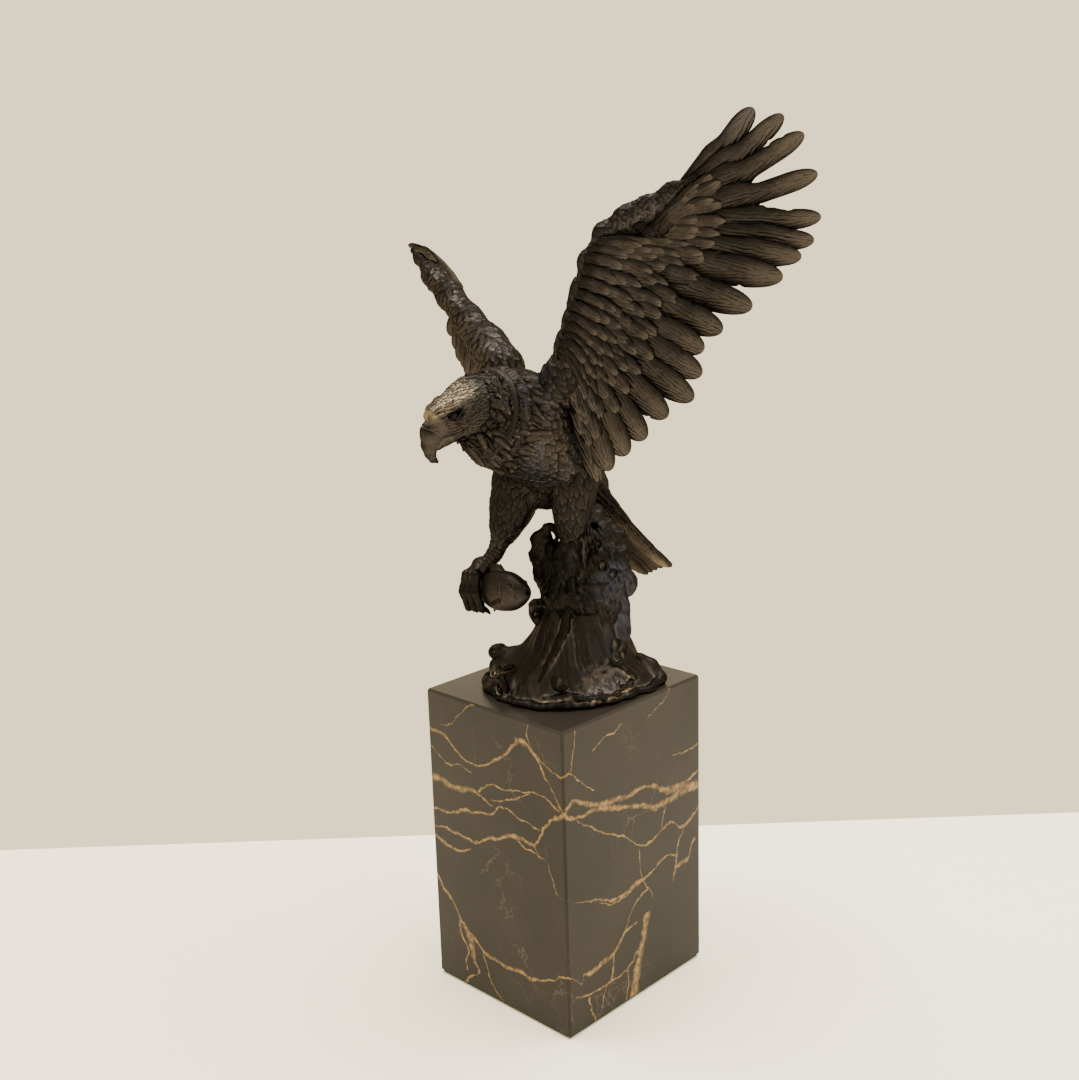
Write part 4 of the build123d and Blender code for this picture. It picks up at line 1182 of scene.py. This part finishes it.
def wave_piece(bronze):
    clay = Clay(vec(-49, -53, PLINTH_TOP - 2), vec(56, 50, PERCH + 4), 0.56)
    wave_column(clay)
    # Basin on the near side, its wandering rim, and the lip along the foot
    clay.ball(above_plinth([(41, -13, 13.5)])[0], (9.5, 13.5, 8.0), 5, remove=True)
    for rows in (MEANDER, FORK):
        sunk = np.array(rows) - [0.7, -0.5, 0.5, 0.1]
        clay.limb(above_plinth(sunk), 2.2)
    for a0, a1, thick in ((-150, -60, 1.7), (-60, 20, 1.5), (20, 70, 1.9), (70, 205, 1.6)):
        rows = []
        for degrees in np.linspace(a0, a1, 24):
            wrapped = (degrees + 180) % 360 - 180
            reach = np.interp(wrapped, FOOT_ANGLES, FOOT_RADII) - 1.5 + 0.8 * math.sin(degrees * 0.35)
            a = math.radians(degrees)
            rows.append((4 + reach * math.cos(a), reach * math.sin(a), 1.9 + 0.5 * math.sin(degrees * 0.21),
                         thick))
        clay.limb(above_plinth(rows), 1.5)
    # Spiral in the middle of the front, and the open scroll at the front left
    spiral = above_plinth([(25.2, -28.4, 13.3)])[0]
    flow = unit(vec(0.74, 0.62, 0.05))
    face_up = unit(vec(-0.30, 0.42, 0.86))
    face_out = np.cross(flow, face_up)
    clay.ball(spiral + face_out * 1.0, (3.6, 3.6, 1.9), 1.2, remove=True)
    clay.limb(ring_rows(spiral, flow, face_up, 3.9, 0.5, 0.8, start=2.6), 1.8)
    scroll = above_plinth([(-9.0, -37.5, 4.8)])[0]
    flow = unit(vec(0.90, -0.40, 0.05))
    face_out = unit(vec(0.35, -0.90, 0.10))
    clay.ball(scroll - face_out * 3, (8.0, 7.0, 5.2), 3)
    clay.ball(scroll + face_out * 4.0, (4.8, 4.8, 3.6), 1.0, remove=True)
    clay.limb(ring_rows(scroll + face_out * 1.2, flow, vec(0, 0, 1), 6.2, 0.72, 1.5, start=-0.6), 1.0)
    clay.limb(ring_rows(scroll + face_out * 2.4, flow, vec(0, 0, 1), 3.3, 0.9, 1.2, start=0.3, shrink=0.6),
              0.7)
    clay.limb(above_plinth([(-17, -34, 3.5, 3.0), (-23, -33.5, 3.8, 2.6), (-28, -31, 3.4, 2.0),
                            (-29.5, -29, 5.0, 1.4)]), 2)
    # Plateau and web towards the side curl, right-hand lobe, smooth fall at the right
    clay.limb(above_plinth([(-8, -12, 14, 6.5), (-20, -19, 11, 6.0), (-28, -22, 9, 4.5)]), 5)
    clay.limb(above_plinth([(-9, -13, 17.5, 2.4), (-17, -17, 17.6, 2.0), (-26, -21, 17.8, 1.8)]), 3)
    clay.limb(above_plinth([(32, 26, 12, 4), (36.5, 30.5, 8.5, 3.6), (41, 31, 3.5, 3.6)]), 3)
    clay.limb(above_plinth([(31, 10, 58, 4.6), (30.3, 12.5, 44, 5.2), (31.5, 12, 32, 5.0),
                            (34.0, 10, 24, 3.2)]), 1.6)
    clay.limb(above_plinth([(28.5, 2, 56, 3.4), (27, 3, 40, 3.2), (30, 1, 27, 2.6), (36, -2, 20, 1.6)]), 1.2)
    clay.limb(above_plinth([(14, -17.0, 50, 2.6), (12.5, -18, 38, 2.4), (10, -25, 22, 2.0),
                            (5, -33, 11, 1.2)]), 1.4)
    clay.limb(above_plinth([(19.5, -15.5, 50, 2.2), (18.5, -17.5, 38, 2.2), (15.5, -25.5, 22, 1.8),
                            (14, -32, 12, 1.0)]), 1.4)
    clay.limb(above_plinth([(2, -10, 42, 2.8), (-2.5, -13, 31, 2.6), (-5, -18, 21, 2.2),
                            (-9, -24, 13, 1.6)]), 1.6)
    carve_bubbles(clay, above_plinth([
        (34.0, 4.2, 27.1, 2.6), (36.4, 7.5, 20.8, 1.8), (33.5, 22.0, 13.5, 1.7)]))
    for x, y, h in ((-24.4, -24.3, 8.6), (-21.2, -26.3, 9.4), (-18.0, -28.0, 10.2), (-15.0, -28.4, 11.6),
                    (-11.8, -28.3, 13.0), (-20.5, -29.5, 7.2), (-25.2, -27.4, 6.2), (-28.5, -22.8, 7.8)):
        place = above_plinth([(x, y, h)])[0]
        clay.ball(place, (1.9, 1.9, 1.6), 0.8)
        clay.ball(place + TOWARDS_VIEW * 0.9 + vec(0, 0, 1.0), (0.95, 0.95, 0.95), 0.3, remove=True)
    shape = clay.skin()
    p = shape.points
    height = p[:, 2] - PLINTH_TOP
    outside = smooth(0.5, 3.0, height)
    basin = smooth(15, 9, np.linalg.norm((p - above_plinth([(40, -12, 10)])[0]) * [1, 0.75, 1], axis=1))
    relief = streaks(shape, (9, 2), 0.28, 81) * (1 - basin) + 0.55 * lumps(p, 11.0, 83)
    relief = relief + basin * 0.7 * lumps(p, 4.5, 85)
    shape.push(relief * outside)
    q = shape.points
    fall = smooth(8, 3, np.linalg.norm((q - vec(31, 11, PERCH - 20)) * [1, 1, 0.28], axis=1))
    # Painted bluish highlight on the smooth fall at the right, and a painted bluish sheen in patches
    weathered(shape, 1.0 * fall + 0.20 * smooth(0.3, 0.8, lattice_noise(q, 17.0, 87)), -0.10)
    shape.paint["rub_and_highlight"] = shape.paint["rub_and_highlight"] + 0.16 * smooth(16, 8, q[:, 2] - PLINTH_TOP)
    meander_gap = np.min([np.linalg.norm(q - above_plinth(MEANDER)[i, :3], axis=1)
                          for i in range(len(MEANDER))], axis=0)
    shape.paint["rub_and_highlight"] = np.clip(shape.paint["rub_and_highlight"] + 0.22 * basin + 0.35 * smooth(4.0, 1.5, meander_gap), 0,
                                 1.2)
    shade = smooth(34, 50, q[:, 2] - PLINTH_TOP) * smooth(5, -8, (q - vec(15, 5, PERCH)) @ -TOWARDS_VIEW)
    shape.paint["dark_patina_and_shade"] = np.clip(shape.paint["dark_patina_and_shade"] + 0.35 * shade * (1 - fall), 0, 1)
    return body_object("wave_casting", shape, bronze, ["wave_base"])


def splash_piece(bronze):
    """Foam that stands on the wave round the leg and up to the rump."""
    clay = Clay(up(-16, -30, -34), up(46, 40, 54), 0.50)
    depth = TOWARDS_VIEW
    rows = [(15.5, 5.0, -9, 18.0), (15.5, 5.5, 2, 18.5), (15.5, 6.0, 12, 15.5), (14.5, 6.5, 22, 12.0),
            (12.5, 7.5, 31, 8.0),
            (10.5, 9.5, 40, 5.5)]
    clay.limb(lifted(rows), 4, flat=(depth, 0.62))
    # Skirt that runs down into the column below
    clay.limb(lifted([(15.2, 4.6, -16, 18.2), (15.3, 4.8, -6, 18.6), (15.5, 5.2, 3, 14.5)]), 5)
    # Tongue left of the leg, with its curled rim
    clay.limb(lifted([(2, -6, -9, 6.5), (-2.5, -9.5, 2, 6.2), (-4.2, -11.2, 12, 5.8), (-3.2, -10.4, 20, 4.6),
                      (-1.6, -9, 27, 2.4)]),
              2.5, flat=(depth, 0.5))
    clay.limb(lifted([(-1.8, -9.2, 28.0, 1.5), (1.6, -6.5, 27.2, 1.5), (3.6, -5.6, 22.5, 1.4),
                      (3.2, -7.0, 17.5, 1.1)]), 0.8)
    clay.limb(lifted([(2, -8, 16, 4.0), (0.0, -9.5, 4, 4.5), (3.0, -9, -7, 4.5)]), 2)
    clay.limb(lifted([(13, -12, -5, 8.0), (14.5, -11.5, 8, 7.6), (15, -8.5, 19, 6.6)]), 3)
    # Lip that the toes sink into, foam at the right, and its downward edge
    clay.limb(lifted([(5, -10, -7, 6.0), (14, -13, -8, 7.5), (24, -7, -8, 7.0)]), 5)
    for x, y, h, r in ((29, 12, 2, 8.0), (27.5, 15, 11, 7.0), (31, 5, 0, 6.0), (24, 17, 19, 6.0),
                       (20, 16, 27, 4.2),
                       (31, 17, -4, 6.0), (24, 3, 12, 6.5), (22, 8, 22, 5.5), (15.5, 13, 33, 3.6)):
        clay.ball(up(x, y, h), (r, r, r * 1.1), 3)
    carve_bubbles(clay, lifted([
        (33.0, 4.5, 5.5, 1.9), (29.0, 0.5, 9.5, 2.3), (24.0, 2.5, 19.5, 2.1), (21.0, -8.5, 0.5, 1.7)]))
    # Openings that the background shows through, beside the tail
    for x, y, h, r in ((14.1, 5.4, 35.4, 2.0), (16.8, 8.1, 28.5, 1.4)):
        through = up(x, y, h)
        clay.limb([(*(through + depth * 24), r), (*(through - depth * 24), r)], 0.6, remove=True)
    shape = clay.skin()
    p = shape.points
    shape.push(0.95 * lumps(p, 7.0, 91) + streaks(shape, (15, 5), 0.35, 93) + 0.35 * lumps(p, 2.8, 96))
    q = shape.points
    foam = smooth(15, 8, np.linalg.norm((q - up(31, 8, -2)) * [1, 0.8, 1], axis=1))
    # Painted bluish highlight on the foam above the fall
    weathered(shape, 0.55 * foam, -0.16)
    shape.paint["rub_and_highlight"] = np.minimum(shape.paint["rub_and_highlight"], 0.75)
    shape.paint["dark_patina_and_shade"] = np.clip(shape.paint["dark_patina_and_shade"] + 0.40 * (1 - foam) * smooth(30, 5, q[:, 2] - PERCH),
                                  0, 1)
    return body_object("splash_casting", shape, bronze, ["splash_column"])


def crest_curl_piece(bronze):
    clay = Clay(up(-24, -28, -38), up(16, 4, -4), 0.34)
    sheet = [(7, -6, -24, 6.0), (2, -9.0, -19.5, 5.0), (-2.5, -11.0, -16, 4.2), (-7, -11.7, -15.0, 3.9),
             (-11.0, -12.0, -16.8, 3.6)]
    clay.limb(lifted(sheet), 1.5, flat=(vec(0.3, 0.2, 1), 0.75))
    clay.limb(lifted([(-6, -14.5, -14.8, 2.6), (-11.5, -14, -16.5, 3.2), (-12.3, -12.5, -20.5, 3.8),
                      (-10.5, -12, -24.4, 3.6)]), 1.4)
    clay.limb(lifted([(-4, -9.5, -16, 3.0), (-9.5, -9.5, -16.5, 3.0), (-12, -10.5, -20.5, 2.8)]), 1.2)
    clay.ball(up(-10.0, -16.0, -21.0), (1.6, 1.6, 2.1), 0.5, remove=True)
    clay.ball(up(-6.5, -15.4, -12.8), (1.8, 1.4, 1.2), 0.4, remove=True)
    shape = clay.skin()
    shape.push(0.45 * lumps(shape.points, 4.0, 101))
    shape.points = shape.points + vec(2.6, 2.6, 0)
    return body_object("crest_curl_casting", weathered(shape), bronze, ["crest_curl"])


def side_curl_piece(bronze):
    clay = Clay(vec(-48, -36, PLINTH_TOP + 2), vec(-12, -6, PLINTH_TOP + 30), 0.34)
    centre = above_plinth([(-30.0, -21.0, 16.8)])[0]
    across = unit(vec(0.42, -0.90, 0.0))
    along = unit(vec(0.90, 0.42, 0.0))
    clay.limb([(*above_plinth([(-17, -14, 10)])[0], 4.0), (*above_plinth([(-25, -18.5, 15)])[0], 3.4),
               (*(centre + along * 2), 3.6)], 2)
    for shift in (-2.0, 0.0, 2.0):
        clay.limb(ring_rows(centre + across * shift, -along, vec(0, 0, 1), 3.1, 0.95, 2.0, start=2.6,
                            shrink=0.55), 0.8)
    clay.ball(centre + across * 3.6, (1.5, 1.5, 1.5), 0.5, remove=True)
    shape = clay.skin()
    shape.push(0.4 * lumps(shape.points, 5.0, 111))
    return body_object("side_curl_casting", weathered(shape), bronze, ["side_curl"])


# ---- Marble --------------------------------------------------------------------------------------

# Veins of the block. Around the faces they run by s = x + y, in millimetres, and z above the floor. Rows of
# s, z, width. Veins that stand steeply hold s as a function of z instead.
LONG_VEINS = [
    [(-105, 147.5, 1.5), (-90, 145.5, 1.6), (-84, 141, 1.3), (-78, 137, 1.2), (-62, 137, 1.1),
     (-56, 141, 1.7),
     (-48, 145, 2.0), (-41, 152, 2.4), (-35, 157, 3.0), (-30, 157.5, 3.0), (-25, 154, 2.4), (-19, 147, 1.8),
     (-14, 139, 1.5), (-9, 131, 1.6), (-4, 126, 2.5)],
    [(-30, 158, 0.5), (-24, 154.5, 1.0), (-18, 150, 1.1), (-10, 146.5, 0.9), (0, 147, 0.9), (6, 142, 0.8),
     (12, 136, 0.7), (18, 132, 0.4)],
    [(-105, 119.5, 3.4), (-97, 120.5, 3.8), (-90, 118, 4.0), (-83, 118, 3.8), (-76, 119.5, 2.8),
     (-68, 121, 1.8),
     (-62, 118, 1.2), (-56, 115.5, 0.6)],
    [(-67, 122, 1.2), (-61, 125.5, 1.1), (-55, 128, 1.0), (-47, 128.6, 1.0), (-40, 129.8, 1.0),
     (-30, 131, 1.0),
     (-21, 132.5, 1.0), (-15, 130, 1.0), (-8, 127, 1.2)],
    [(-56, 119.5, 0.6), (-48, 121.5, 0.9), (-42, 124, 1.0), (-36, 126.5, 0.9), (-29, 130, 0.7)],
    [(-105, 101, 1.2), (-90, 102, 1.2), (-84, 105, 1.3), (-76, 107.5, 1.6), (-66, 109.5, 1.5),
     (-59, 110.5, 1.4),
     (-53, 114, 1.1), (-50, 117, 1.0), (-44, 116.5, 1.0), (-37, 115, 1.0), (-29, 113.8, 0.9),
     (-23, 112.5, 0.9)],
    [(-105, 90, 1.0), (-90, 91.5, 1.3), (-78, 91, 1.5), (-70, 91, 1.6), (-64, 94, 1.8), (-59, 97.8, 2.1),
     (-53, 98.5, 2.0), (-48, 101.5, 2.2), (-42, 103.3, 2.3), (-34, 104, 2.2), (-27, 103, 2.2),
     (-23, 108, 2.2),
     (-19, 114, 2.6), (-14, 119.5, 2.4), (-8, 124, 2.6), (-3, 127.5, 3.2), (2, 131, 2.2), (7, 129.5, 2.2),
     (14, 125.5, 3.2), (24, 122.5, 3.4), (36, 121.5, 2.4), (46, 120, 2.2), (56, 121, 1.8), (64, 118.5, 2.2),
     (72, 114, 3.4), (82, 111, 4.4), (94, 108.5, 4.6), (105, 107, 4.2)],
    [(-6, 126, 2.4), (0, 122.5, 2.0), (8, 121.2, 1.8), (18, 121, 2.4), (30, 118.5, 2.8), (40, 115.5, 2.6),
     (50, 112, 2.2), (58, 108.5, 2.4), (66, 105.5, 3.0), (76, 106, 3.8), (90, 106.5, 4.0), (105, 105, 3.2)],
    [(78, 112, 1.6), (88, 112, 1.8), (96, 112.5, 1.6), (105, 115.5, 1.4)],
    [(0, 124, 1.0), (6, 118, 1.0), (13, 113.5, 1.0), (20, 108.5, 1.0), (30, 103, 1.0), (40, 98.5, 1.0),
     (46, 92.5, 1.0), (52, 88, 1.2), (60, 87, 1.3), (66, 88.5, 1.5), (73, 91.5, 1.6), (80, 91.5, 1.5),
     (85, 87, 1.5), (90, 85.5, 1.9), (97, 88.5, 2.1), (105, 94, 2.1)],
    [(2, 75.5, 0.5), (10, 73.5, 0.8), (19, 70.5, 1.2), (28, 66.5, 1.5), (36, 65.0, 1.5), (43, 66, 2.8),
     (49, 67, 3.0),
     (55, 68, 1.5), (62, 69, 1.3), (70, 73, 1.2), (78, 73.3, 1.1), (84, 71.5, 1.5)],
    [(20, 68, 0.4), (28, 64.2, 0.8), (38, 63.5, 1.0), (45, 65, 0.8)],
    [(-105, 61, 2.6), (-98, 54, 2.2), (-93, 50, 2.6), (-88, 43, 2.4), (-84, 38, 2.2), (-78, 33.5, 2.6),
     (-72, 29.5, 2.0), (-66, 26.5, 2.0), (-58, 25.6, 2.2), (-48, 25, 2.4), (-40, 25.5, 2.6),
     (-34, 24.3, 2.4),
     (-27, 26, 2.0), (-20, 29.5, 1.3), (-15, 31.5, 1.0), (-10, 35.5, 1.0), (-4, 36, 0.9), (1, 33, 0.9),
     (5, 28.5, 0.9), (7, 33, 0.9), (11, 31.8, 2.6), (20, 33, 2.9), (29, 34, 2.8), (35, 39, 2.0),
     (41, 43.5, 1.6),
     (50, 45, 1.3)],
    [(0, 22.5, 1.0), (8, 19.8, 1.2), (16, 18.5, 1.1), (28, 19, 1.1), (38, 20, 1.0), (45, 22, 1.2),
     (50, 27, 1.2)],
    [(30, 35, 0.7), (38, 41, 1.0), (43, 49, 1.1), (49, 57, 1.1), (60, 61, 1.0)],
    [(82, 64, 1.8), (88, 64.5, 3.0), (93, 64, 3.4), (96, 70, 3.4), (100, 75, 3.0)],
    [(17, 153.5, 0.4), (22, 156, 0.8), (27, 158.5, 0.8), (35, 158.6, 0.8), (39, 161.5, 0.5)],
    [(60, 158, 0.2), (68, 162, 0.7), (73, 164, 0.6), (79, 169, 0.5)],
    [(80, 130.5, 0.7), (88, 130, 0.9), (96, 129.5, 0.9), (105, 130.5, 0.7)],
    [(-105, 138, 0.4), (-96, 133, 0.7), (-90, 130.5, 0.7), (-80, 131.5, 0.6), (-72, 130, 0.5)],
    [(-93, 152, 0.5), (-86, 154.5, 0.7), (-80, 160.5, 0.7), (-74, 166, 0.6), (-66, 169, 0.5)],
    [(-105, 85.5, 1.7), (-98, 82.8, 1.6), (-88, 81.3, 1.4), (-80, 82.3, 1.5), (-75, 85, 1.0)],
    [(-40, 103, 0.8), (-34, 100, 1.1), (-27, 99, 1.0), (-20, 97, 0.6)],
]
STEEP_VEINS = [
    [(46, -2, 6.5), (47.5, 8, 6.3), (50, 18, 5.5), (53.5, 28, 4.6), (56.5, 38, 4.4), (58.5, 47, 5.6)],
    [(28.6, 19, 1.0), (30, 27, 1.2), (31, 35, 1.0)],
    [(-83.5, 2, 1.2), (-79, 8, 1.5), (-73, 12, 1.8), (-76, 18, 2.6), (-77.5, 25, 4.2), (-79, 32, 4.6),
     (-83, 38, 3.0)],
    [(-54, 2, 1.4), (-60, 7, 1.3), (-64, 12, 1.0), (-66, 19, 0.9), (-68.5, 27, 0.9)],
    [(-82, 10, 0.9), (-83, 16, 1.0), (-81, 23, 1.2), (-85, 30, 1.6), (-86, 38, 1.4)],
    [(15, 2, 1.2), (12, 10, 1.0), (10.5, 17, 0.9)],
    [(20, 8, 1.0), (22, 14, 1.0), (24.5, 18, 0.9)],
    [(40, 3, 1.2), (41.5, 11, 1.2), (41, 20, 0.8)],
    [(81, 57, 0.9), (83, 64, 1.2), (83.5, 72, 1.4), (86, 79, 1.0), (90, 84, 0.9)],
    [(63, 54, 0.9), (60, 60, 0.8), (56, 66, 0.7), (53, 74, 0.5), (52, 86, 0.6)],
    [(71, 91, 0.5), (72.5, 97, 0.6), (75, 103, 0.6)],
    [(-25, 99, 0.7), (-26, 103, 0.8), (-24, 107, 0.6)],
    [(-4, 79, 0.4), (-11, 80, 0.5), (-14, 88, 0.5), (-16, 95, 0.4)],
    [(-27, 158, 0.6), (-29, 163, 0.6), (-28, 169, 0.4)],
    [(1, 148, 0.4), (3, 156, 0.5), (4, 168, 0.4)],
]


# The curves that hold the veins run from 0 to 1 over these stretches of s and z
VEIN_ROUND_START, VEIN_ROUND = -110.0, 220.0
VEIN_LOW, VEIN_HIGH = -5.0, 180.0
WIDTH_UNIT = 10.0        # widths are kept in tenths of this, so that they fit a curve
FADE, RUN_ON = 0.004, 0.02        # a vein's width ends this far past it, its course goes on further


def marble_material():
    """Polished grey-brown stone: gold veins that branch over the faces, hair veins and clouds."""
    n = Nodes("gold_veined_marble")
    place = n.add("ShaderNodeTexCoord").outputs["Object"]
    parts = n.add("ShaderNodeSeparateXYZ", _0=place)
    wide = n.add("ShaderNodeTexNoise", Scale=70.0, Detail=3.0, Roughness=0.55)
    fine = n.add("ShaderNodeTexNoise", Scale=330.0, Detail=3.0, Roughness=0.6)
    for node in (wide, fine):
        n.feed(node.inputs["Vector"], place)
    broad_parts = n.add("ShaderNodeSeparateXYZ", _0=wide.outputs["Color"])
    fine_parts = n.add("ShaderNodeSeparateXYZ", _0=fine.outputs["Color"])

    def wandering(value, axis):
        value = n.math("ADD", value, n.math("MULTIPLY", n.math("SUBTRACT", broad_parts.outputs[axis], 0.5),
                                            0.0050))
        return n.math("ADD", value, n.math("MULTIPLY", n.math("SUBTRACT", fine_parts.outputs[axis], 0.5),
                                           0.0026))

    around = wandering(n.math("ADD", parts.outputs["X"], parts.outputs["Y"]), "X")
    high = wandering(parts.outputs["Z"], "Y")
    place_around = n.math("DIVIDE", n.math("ADD", around, -VEIN_ROUND_START * MM), VEIN_ROUND * MM)
    place_high = n.math("DIVIDE", n.math("ADD", high, -VEIN_LOW * MM), VEIN_HIGH * MM)

    def along(value, pairs):
        node = n.tree.nodes.new("ShaderNodeFloatCurve")
        n.feed(node.inputs["Value"], value)
        line = node.mapping.curves[0]
        line.points[0].location = pairs[0]
        line.points[1].location = pairs[-1]
        for pair in pairs[1:-1]:
            line.points.new(*pair)
        node.mapping.use_clip = False
        node.mapping.update()
        return node.outputs[0]

    gold = None
    ragged = n.math("ADD", 0.65, n.math("MULTIPLY", fine.outputs["Fac"], 0.7))
    for veins, runs_along, stands, column, row in ((LONG_VEINS, place_around, place_high, 0, 1),
                                                   (STEEP_VEINS, place_high, place_around, 1, 0)):
        for vein in veins:
            points = [((s - VEIN_ROUND_START) / VEIN_ROUND, (z - VEIN_LOW) / VEIN_HIGH, width) for s, z,
                      width in vein]
            points.sort(key=lambda point: point[column])
            size = VEIN_HIGH if column == 0 else VEIN_ROUND
            first, last = points[0][column], points[-1][column]
            line = [(point[column], point[row]) for point in points]
            widths = [(point[column], point[2] / WIDTH_UNIT) for point in points]
            widths = [(first - FADE, 0.0)] + widths + [(last + FADE, 0.0)]
            line = [(max(first - RUN_ON, 0.0), line[0][1])] + line + [(min(last + RUN_ON, 1.0), line[-1][1])]
            middle = along(runs_along, line)
            width = n.math("MULTIPLY", along(runs_along, widths), WIDTH_UNIT)
            gap = n.math("MULTIPLY", n.math("ABSOLUTE", n.math("SUBTRACT", stands, middle)), size)
            width = n.math("MULTIPLY", width, ragged)
            share = n.math("SUBTRACT", 1.25, n.math("DIVIDE", gap,
                    n.math("ADD", n.math("MULTIPLY", width, 0.52), 0.02)), True)
            share = n.math("MULTIPLY", share, n.math("GREATER_THAN", width, 0.05))
            gold = share if gold is None else n.math("MAXIMUM", gold, share)
    sides = n.math("LESS_THAN", parts.outputs["Z"], (PLINTH_TOP - 0.7) * MM)
    gold = n.math("MULTIPLY", gold, sides)
    # Hair veins from cell edges
    warp = n.add("ShaderNodeVectorMath", {"operation": "ADD"}, _0=place,
                 _1=n.add("ShaderNodeVectorMath", {"operation": "SCALE"}, _0=wide.outputs["Color"],
                          Scale=0.03).outputs[0])
    cells = n.add("ShaderNodeTexVoronoi", {"feature": "DISTANCE_TO_EDGE"}, Scale=26.0)
    n.feed(cells.inputs["Vector"], warp.outputs[0])
    hair = n.ramp(cells.outputs["Distance"], 0.020, 0.0)
    patches = n.noise(24.0, 2.0, 0.5, place)
    hair = n.math("MULTIPLY", hair, n.ramp(patches, 0.50, 0.70))
    clouds = n.noise(16.0, 5.0, 0.6, place)
    speckle = n.noise(1500.0, 2.0, 0.5, place)
    stone = n.mix(n.ramp(clouds, 0.30, 0.70), (0.0080, 0.0075, 0.0063, 1), (0.0165, 0.0145, 0.0115, 1))
    stone = n.mix(n.math("MULTIPLY", speckle, 0.35), stone, (0.036, 0.030, 0.024, 1))
    tint = n.mix(n.ramp(fine.outputs["Fac"], 0.35, 0.65), (0.085, 0.052, 0.020, 1), (0.250, 0.162, 0.066, 1))
    colour = n.mix(n.math("MULTIPLY", hair, 0.30), stone, (0.13, 0.10, 0.065, 1))
    colour = n.mix(n.math("MULTIPLY", gold, 0.92), colour, tint)
    n.feed(n.shader.inputs["Base Color"], colour)
    n.shader.inputs["Roughness"].default_value = 0.30
    n.shader.inputs["IOR"].default_value = 1.5
    n.shader.inputs["Specular IOR Level"].default_value = 0.13
    return n.material


def finish_cad():
    """Materials of the CAD nodes that stay in sight: the block, its felt, the fasteners and the dowels."""
    steel = plain_material("zinc_steel", (0.55, 0.56, 0.57, 1), 1.0, 0.34)
    bright = plain_material("dowel_bronze", (0.52, 0.36, 0.17, 1), 1.0, 0.32)
    felt = plain_material("green_felt", (0.018, 0.045, 0.026, 1), 0.0, 0.95)
    plan = {"marble_plinth": marble_material(), "felt_pad": felt}
    plan.update({name: steel for name in ("mounting_studs", "mounting_washers", "mounting_nuts")})
    plan.update({name: bright for name in ("wing_dowels", "hip_dowels", "tail_dowel", "foot_dowel",
                                           "fish_dowel")})
    for name, material in plan.items():
        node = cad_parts[name]
        node.data.materials.clear()
        node.data.materials.append(material)


camera()
studio()
bronze = bronze_material()
finish_cad()
wave_piece(bronze)
crest_curl_piece(bronze)
side_curl_piece(bronze)
splash_piece(bronze)
torso_piece(bronze)
head_piece(bronze)
left_leg_piece(bronze)
right_leg_piece(bronze)
fish_piece(bronze)
wing_piece(Wing(1, vec(0.626, 0.168, 0.761), vec(0.600, -0.730, -0.330), RAISED_TIPS, 0.0),
           "left_wing_casting",
           "left_wing", bronze)
wing_piece(Wing(-1, vec(-0.846, 0.392, 0.362), vec(-0.534, -0.635, -0.560), SPREAD_TIPS, 9.0),
           "right_wing_casting",
           "right_wing", bronze)
tail_piece(bronze)
